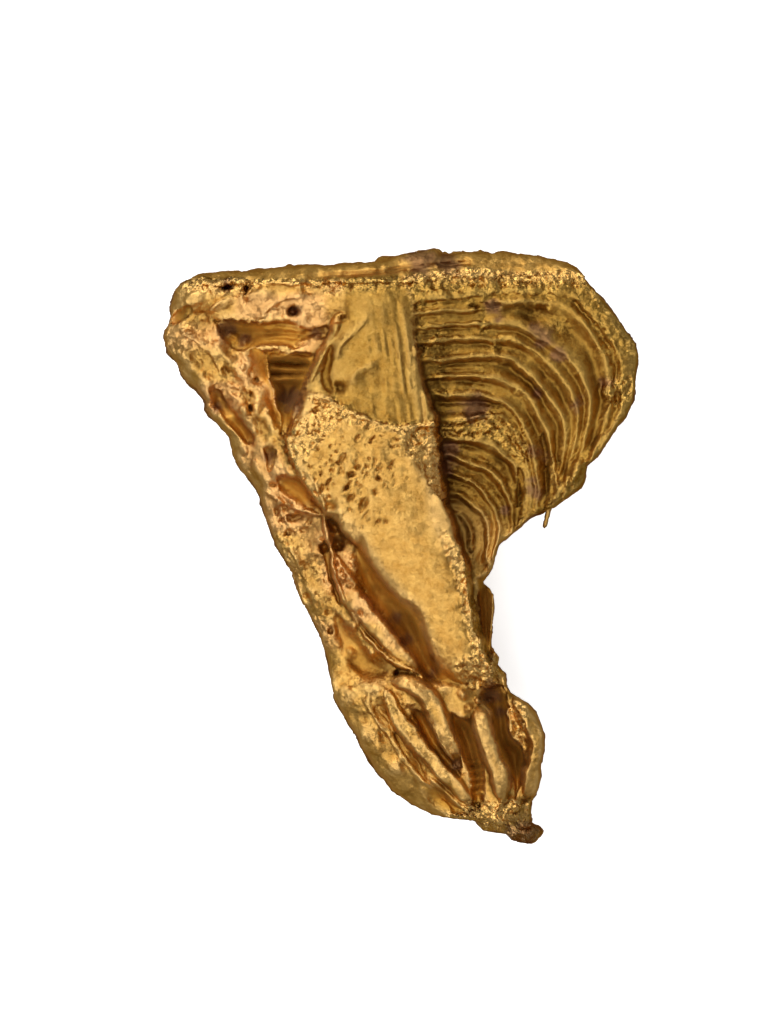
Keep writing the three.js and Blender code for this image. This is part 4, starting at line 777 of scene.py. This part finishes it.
def face_marks(a, d, wa, wd, zone, cut):
    """How calm the face is, its hue and how hollow it is. The keel, the terraces, the ribs and the hollows
    are calm, the crusts, the band along the broad end and the tip of the leg are crumbly."""
    usual = CALMNESS["usual"] + CALMNESS["leg"] * smooth(d, 20.5, 22)
    usual = usual + CALMNESS["patches"] * grain(a, d, 0, 1.6, 18)
    below_top = smooth(d + 0.2 * grain(a, d, 0, 0.7, 17), 1.9, 2.6)
    calm = below_top * np.maximum(zone["keel"] * (1 - CALMNESS["pitted"] * zone["pitted"]), usual)
    fan = CALMNESS["fan"] - CALMNESS["fan_patches"] * smooth(grain(a, d, 0, 1.0, 21), 0.1, 0.6)
    calm = np.maximum(np.maximum(calm, fan * zone["terraces"]), smooth(cut, 0.15, 0.5))
    for distance, _, _, half in strokes(CALM, wa, wd):
        calm = np.maximum(calm, CALMNESS["rib"] * (1 - smooth(distance, 0.7 * half, half)))
    for outline in CRUSTS:
        calm = calm * (1 - CALMNESS["crust"] * smooth(depth_inside(outline, wa, wd), -0.15, 0.15))
    calm = calm * (1 - smooth(d + 0.7 * np.minimum(a - 15.4, 0), 27.2, 28))

    olive = smooth(zone["past_right"], 0, 0.4) * (1 - smooth(d - 0.5 * a, 4.5, 6)) * smooth(d, 1.4, 2)
    olive = np.maximum(olive, PANEL_OLIVE * zone["panel"] * zone["keel"])
    rosy = (1 - smooth(zone["past_left"], -0.6, 0.2)) * smooth(grain(a, d, 0, 1.5, 20), -0.3, 0.4)
    rosy = rosy * smooth(d, 1.6, 2.2) * (1 - smooth(d, 18, 22))
    return calm, olive - rosy, smooth(cut, 0.15, 1.1)


def back_height(a, d, rim):
    """The height of the underside below a rim: a bowl round its lowest place, with a step up at each
    growth step, ribs, grooves and lumps. Under the leg it is level."""
    reach = np.hypot(a - BELLY["lowest"][0], 0.8 * (d - BELLY["lowest"][1]))
    z = BELLY["rise"] * reach * reach - BELLY["worn"]
    for k in range(BACK_STEPS["count"]):
        outside = reach + 0.5 * unevenness(a, d, k, 5) - BACK_STEPS["first"] - k * BACK_STEPS["apart"]
        z = z + BACK_STEPS["step"] * (smooth(outside, -0.15, 0.15) - 0.5 * smooth(outside, 0.1, 1.5))
    z = np.minimum(z, rim - BELLY["leg"])
    z = z - humps(BACK_RIBS, a, d) + trenches(BACK_GROOVES, a, d)
    return z + LUMPS["back"] * mix(0.25, 1, smooth(reach, 2, 7)) * unevenness(a, d, 9, LUMPS["size"])


def placed(s, level, top_line):
    """[across, down] at share s of the way across and a level down the body, with the height of the rim
    there and how far in from it the place lies. Near the broad end the rows bend to run along top_line."""
    near = np.linspace(-1.2, 1.2, 9)
    left, right = along(LEFT_EDGE, level), along(RIGHT_EDGE, level)
    left_mean, right_mean = (sum(along(e, level + n) for n in near) / 9 for e in (LEFT_EDGE, RIGHT_EDGE))
    late = smooth(level, 28, 29.5)
    left_mean, right_mean = mix(left_mean, left, late), mix(right_mean, right, late)
    a = mix(left_mean, right_mean, s) + (left - left_mean) * (1 - s) ** 10 + (right - right_mean) * s**10
    fade = np.clip(1 - (level - TOP) / 3, 0, 1) ** 2
    d = level + (along(top_line, a) - TOP) * fade
    rim = mix(along(LEFT_RIM, d), along(RIGHT_RIM, d), s)
    return a, d, rim, np.where((s == 0) | (s == 1), 0, rim_distance(a, d))


def face_sheet(s, level):
    """The face over the rim, which it turns down to steeply."""
    a, d, rim, inwards = placed(s, level, LIP)
    radius = mix(FACE_RIM["left"], FACE_RIM["right"], s) * (1 + 0.35 * unevenness(a, d, 4, 1.9))
    rise = ledged(quarter_round(inwards, radius), FACE_RIM["ledges"])
    height, calm, hue, hollow = face_height(a, d)
    return a, d, mix(rim, height, rise), mix(CALMNESS["rim"], calm, rise), hue, hollow


def back_sheet(s, level):
    """The underside below the rim, level with the surface where it is worn flat."""
    a, d, rim, inwards = placed(s, level, BACK_EDGE)
    width = along(RIGHT_EDGE, d) - along(LEFT_EDGE, d)
    rise = quarter_round(inwards, np.minimum(BELLY["rim"], 0.46 * width + 0.05))
    under = mix(BELLY["top_height"], back_height(a, d, rim), quarter_round(level - TOP, BELLY["top_rim"]))
    calm, plain = np.full_like(a, CALMNESS["back"]), np.zeros_like(a)
    return a, d, mix(rim, np.minimum(under, rim), rise), calm, plain, plain


def end_sheet(s, w, lip, back):
    """The broad end: it slants outwards from the lip, then drops to the back edge."""
    out = np.sin(np.pi / 2 * np.clip(w / 0.13, 0, 1))
    a, z = (mix(lip[n], back[n], w) for n in (0, 2))
    d = mix(lip[1], back[1], out)
    inset = np.clip(4 * np.minimum(s, 1 - s), 0, 1) * np.sin(np.pi * w)
    line, half, depth = FISSURE
    distance, share, _ = nearest(line, a, d, half * 2)
    z = z - depth * taper(share) * np.exp(-((distance / half) ** 2)) * (w > 0) * (w < 0.3)
    calm, plain = mix(*CALMNESS["end"], smooth(w, 0.1, 0.4)) + 0 * a, np.zeros_like(a)
    return a, d + inset * 0.18 * unevenness(a, z, 3, 2.2), z, calm, plain, plain


def triangles(p00, p01, p10, p11):
    """Two triangles for each cell of a grid, from the numbers of the places at its four corners."""
    pair = (p00, p01, p10), (p01, p11, p10)
    return np.vstack([np.stack(corners, axis=-1).reshape(-1, 3) for corners in pair])


def spike_mesh(sides=10, steps=16):
    """The spike: circles whose radius falls along its line, closed at both ends by a point."""
    along_it = np.linspace(0, 1, steps + 1)
    own = np.linspace(0, 1, len(SPIKE["line"]))
    centre = np.stack([np.interp(along_it, own, v) for v in np.transpose(SPIKE["line"])], axis=-1)
    radius = np.interp(along_it, own, SPIKE["radii"]) * (1 + 0.15 * np.sin(40 * along_it))
    radius[0] = radius[-1] = 0
    turn = np.linspace(0, 2 * np.pi, sides, endpoint=False)
    a = centre[:, :1] + radius[:, None] * np.cos(turn)
    z = centre[:, 2:] + radius[:, None] * np.sin(turn)
    places = np.stack([CORNER[0] + a, CORNER[1] - centre[:, 1:2] + 0 * a, z], axis=-1).reshape(-1, 3)
    p = np.arange(places.shape[0]).reshape(a.shape)
    return places, triangles(p[:-1], np.roll(p[:-1], -1, 1), p[1:], np.roll(p[1:], -1, 1))


def tarnished(a, d):
    """1 inside the patches of tarnish, whose edges an uneven scatter breaks up, and 0 outside them."""
    ragged = grains((a, d, 0), WAVER["tarnish"], (51, 52))
    share = np.zeros_like(a)
    for (at_a, at_d), radius in TARNISH:
        share = np.maximum(share, smooth(1.25 - np.hypot(a - at_a, d - at_d) / radius + 0.5 * ragged, 0, 0.7))
    return share


def welded_sheets():
    """The places, triangles and marks of three sheets that share their borders, welded into one closed
    form, and of the spike. The rows are crowded at the rim by a share of a cosine."""
    even = np.linspace(0, 1, CELLS["across"] + 1)
    s = mix(even, 0.5 - 0.5 * np.cos(np.pi * even), CELLS["crowded_at_rim"])[None, :]
    level = mix(TOP, TIP[1], np.linspace(0, 1, CELLS["down"] + 1))[:, None]
    s_all, level_all = np.broadcast_arrays(s, level)
    face = face_sheet(s_all, level_all)
    back = back_sheet(s_all, level_all)
    s_end, w_end = np.broadcast_arrays(s, np.linspace(0, 1, CELLS["deep"] + 1)[:, None])
    end = end_sheet(s_end, w_end, [v[:1] for v in face[:3]], [v[:1] for v in back[:3]])

    places, marks, faces, first = [], [], [], 0
    for (a, d, z, calm, hue, hollow), turned, up in ((face, True, 1), (back, False, -1), (end, False, 0)):
        places.append(np.stack([CORNER[0] + a, CORNER[1] - d, z], axis=-1).reshape(-1, 3))
        # The relief drives the painted highlight on crests and the painted shade in recesses.
        relief = up * (z - blurred(z, RELIEF_CELLS))
        tarnish = tarnished(a, d) * (1 if up > 0 else smooth(z, *TARNISHED_END))
        marks.append(np.stack([relief, hollow, calm, hue, tarnish], axis=-1).reshape(-1, len(MARKS)))
        p = first + np.arange(a.size).reshape(a.shape)
        sheet = triangles(p[:-1, :-1], p[:-1, 1:], p[1:, :-1], p[1:, 1:])
        faces.append(sheet[:, (0, 2, 1)] if turned else sheet)
        first += a.size
    spike, spike_faces = spike_mesh()
    places, faces = np.vstack(places + [spike]), np.vstack(faces + [first + spike_faces])
    marks = np.vstack(marks + [np.tile(SPIKE_MARKS, (len(spike), 1))])
    _, keep, weld = np.unique(np.round(places, 4), axis=0, return_index=True, return_inverse=True)
    faces = weld.reshape(-1)[faces]
    faces = faces[(faces[:, 0] != faces[:, 1]) & (faces[:, 1] != faces[:, 2]) & (faces[:, 0] != faces[:, 2])]
    return places[keep], faces, marks[keep]


def swollen(places, faces, rough):
    """The places moved along their normals by grains, cracks and tilted crystals, as far as the surface is
    rough there, and no lower than the surface that the specimen rests on."""
    corners = places[faces]
    across = np.cross(corners[:, 1] - corners[:, 0], corners[:, 2] - corners[:, 0])
    sums = [np.bincount(faces.ravel(), np.repeat(across[:, n], 3), len(places)) for n in range(3)]
    normal = np.stack(sums, axis=-1)
    normal /= np.maximum(np.linalg.norm(normal, axis=1, keepdims=True), 1e-9)
    x, y, z = places.T
    bent = [v + 0.25 * grain(x, y, z, 0.7, 36 + n) for n, v in enumerate((x, y, z))]
    swell = grains(bent, SWELL["lumps"], (31, 32)) + grains((x, y, z), SWELL["fine"], (35,))
    swell = swell - SWELL["cracks"] * smooth(grain(*bent, SWELL["crack_size"], 34), 0.3, 0.55)
    near, tag, plane = scattered(*bent, SWELL["crystal_size"], 37)
    swell = swell + SWELL["crystal"] * (0.4 + tag) * (0.55 - near) + SWELL["tilt"] * plane
    swell = rough * swell + grains((x, y, z), SWELL["everywhere"], (33,))
    places = places + normal * swell[:, None]
    places[:, 2] = np.maximum(places[:, 2], 0)
    return places


def specimen_mesh():
    """The welded sheets, swollen where they are not calm, as a mesh with their marks as attributes."""
    places, faces, marks = welded_sheets()
    places = swollen(places, faces, 1 - marks[:, MARKS.index("calm")])
    mesh = bpy.data.meshes.new("native gold")
    mesh.from_pydata(places * MM, [], faces, shade_flat=False)
    for name, values in zip(MARKS, marks.T):
        mesh.attributes.new(name, "FLOAT", "POINT").data.foreach_set("value", values.astype(np.float32))
    return mesh


mesh = specimen_mesh()
gold = bpy.data.objects.new("native_gold_surface", mesh)
bpy.context.scene.collection.objects.link(gold)
fewer = gold.modifiers.new("fewer", "DECIMATE")
fewer.ratio = min(TRIANGLES / len(mesh.polygons), 1)
evaluated = gold.evaluated_get(bpy.context.evaluated_depsgraph_get())
gold.data = bpy.data.meshes.new_from_object(evaluated)
gold.modifiers.clear()
gold.data.polygons.foreach_set("use_smooth", np.ones(len(gold.data.polygons), dtype=bool))


def add_node(tree, kind, inputs=None, **settings):
    """The outputs of a new node of that kind with its settings, each input set to a value or linked from
    another node's output."""
    node = tree.nodes.new(kind)
    for key, value in settings.items():
        setattr(node, key, value)
    for key, value in (inputs or {}).items():
        if isinstance(value, bpy.types.NodeSocket):
            tree.links.new(value, node.inputs[key])
        else:
            node.inputs[key].default_value = value
    return node.outputs


# Native gold: a satin metal, paler on its crests, partly from wear and partly as a painted highlight, darker
# in its recesses, partly from stain and partly as painted shade, olive on the hoppered face, amber where a
# stain is left in the hollows and brown painted shade where they are deepest, with purple-brown patches of
# tarnish. Its crystal grains, from a tenth to a quarter of a millimetre across, are too fine for the mesh,
# so they are bumps: lumps all over, and small flat facets that are each tilted at random, steep where the
# surface is crumbly and slight on the smooth ribs. The patterns are given by how many of their cells go into
# a millimetre.
BLOTCHES, SPECKS, WANDER, LUMPS_IN_IT = 1.6 / MM, 5 / MM, 3 / MM, 4 / MM
CRYSTALS = ((3.8 / MM, 1.0), (8.5 / MM, 0.8))
ROUGHNESS = {"crumbly": 0.27, "smooth": 0.48, "specks": 0.12, "in_hollows": 0.3}
FACETS = {"crumbly": 0.7, "smooth": 0.25}
CALMEST = 0.9
material = bpy.data.materials.new("native gold")
material.use_nodes = True
tree = material.node_tree
shader = tree.nodes["Principled BSDF"]
shader.inputs["Metallic"].default_value = 1.0
shader.inputs["Specular Tint"].default_value = to_linear("#C08A48")
where = add_node(tree, "ShaderNodeTexCoord")["Object"]
marked = {name: add_node(tree, "ShaderNodeAttribute", attribute_name=name)["Fac"] for name in MARKS}
blotches = {"Vector": where, "Scale": BLOTCHES, "Detail": 6.0, "Roughness": 0.75}
blotches = add_node(tree, "ShaderNodeTexNoise", blotches)["Fac"]
colour = to_linear("#AE7E37")
LAYERS = (
    # what brings the colour in, from and to which value of it, how much of the colour at most, colour,
    # way of mixing
    (blotches, 0.33, 0.67, 1.0, "#D3A658", "MIX"),
    # Paler on the crests, where the relief is high: partly wear, partly a painted highlight.
    (marked["relief"], 0.02, 0.2, 0.45, "#E8BE78", "MIX"),
    (marked["calm"], 0.6, 0.0, 0.6, "#E0B266", "MIX"),
    (marked["hue"], 0.0, -1.0, 0.5, "#E0AA70", "MIX"),
    # Darker in the recesses, where the relief is low: partly stain, partly painted shade.
    (marked["relief"], -0.02, -0.25, 0.7, "#86642E", "MIX"),
    (marked["hollow"], 0.0, 0.5, 0.8, "#CE9A3E", "MIX"),
    # Darker brown where the hollows are deepest: painted shade.
    (marked["hollow"], 0.6, 1.0, 0.5, "#865C22", "MIX"),
    (marked["hue"], 0.0, 1.0, 1.0, "#D8D6BC", "MULTIPLY"),
    (marked["tarnish"], 0.0, 1.0, 0.7, "#74503E", "MIX"),
)
for driver, low, high, most, tint, kind in LAYERS:
    share = {"Value": driver, "From Min": low, "From Max": high, "To Max": most}
    share = add_node(tree, "ShaderNodeMapRange", share)["Result"]
    mixed = {"Factor": share, "A": colour, "B": to_linear(tint)}
    colour = add_node(tree, "ShaderNodeMix", mixed, data_type="RGBA", blend_type=kind)["Result"]
tree.links.new(colour, shader.inputs["Base Color"])

# The smooth parts and the hollows are duller than the crumbly ones, where each crystal face glints.
dull = {"To Min": ROUGHNESS["crumbly"], "To Max": ROUGHNESS["smooth"]}
dull |= {"Value": marked["calm"], "From Max": CALMEST}
dull = add_node(tree, "ShaderNodeMapRange", dull)["Result"]
specks = {"Vector": where, "Scale": SPECKS, "Detail": 2.0}
specks = add_node(tree, "ShaderNodeTexNoise", specks)["Fac"]
specks = {"Value": specks, "To Min": -ROUGHNESS["specks"], "To Max": ROUGHNESS["specks"]}
specks = add_node(tree, "ShaderNodeMapRange", specks)["Result"]
for share, weight in ((specks, 1.0), (marked["hollow"], ROUGHNESS["in_hollows"])):
    dull = {0: share, 1: weight, 2: dull}
    dull = add_node(tree, "ShaderNodeMath", dull, operation="MULTIPLY_ADD")["Value"]
tree.links.new(dull, shader.inputs["Roughness"])

crumbly = {"To Min": FACETS["crumbly"], "To Max": FACETS["smooth"]}
crumbly |= {"Value": marked["calm"], "From Max": CALMEST}
crumbly = add_node(tree, "ShaderNodeMapRange", crumbly)["Result"]
wander = {"Vector": where, "Scale": WANDER, "Detail": 2.0}
wander = add_node(tree, "ShaderNodeTexNoise", wander)["Color"]
bent = {0: wander, 1: (0.2 * MM, 0.2 * MM, 0.2 * MM), 2: where}
bent = add_node(tree, "ShaderNodeVectorMath", bent, operation="MULTIPLY_ADD")["Vector"]
lumps = {"Vector": where, "Scale": LUMPS_IN_IT, "Detail": 6.0, "Roughness": 0.8}
lumps = add_node(tree, "ShaderNodeTexNoise", lumps)["Fac"]
heights = [(lumps, 0.12 * MM, 0.3)]
for scale, steep in CRYSTALS:
    crystals = add_node(tree, "ShaderNodeTexVoronoi", {"Vector": bent, "Scale": scale})
    away = {0: bent, 1: crystals["Position"]}
    away = add_node(tree, "ShaderNodeVectorMath", away, operation="SUBTRACT")["Vector"]
    tilt = {0: crystals["Color"], 1: (0.5, 0.5, 0.5)}
    tilt = add_node(tree, "ShaderNodeVectorMath", tilt, operation="SUBTRACT")["Vector"]
    facets = {0: away, 1: tilt}
    facets = add_node(tree, "ShaderNodeVectorMath", facets, operation="DOT_PRODUCT")["Value"]
    heights.append((facets, steep, crumbly))
normal = None
for height, depth, strength in heights:
    relief = {"Height": height, "Strength": strength, "Distance": depth}
    relief |= {"Normal": normal} if normal else {}
    normal = add_node(tree, "ShaderNodeBump", relief)["Normal"]
tree.links.new(normal, shader.inputs["Normal"])
gold.data.materials.clear()
gold.data.materials.append(material)
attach(gold, "root")
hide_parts("native_gold")
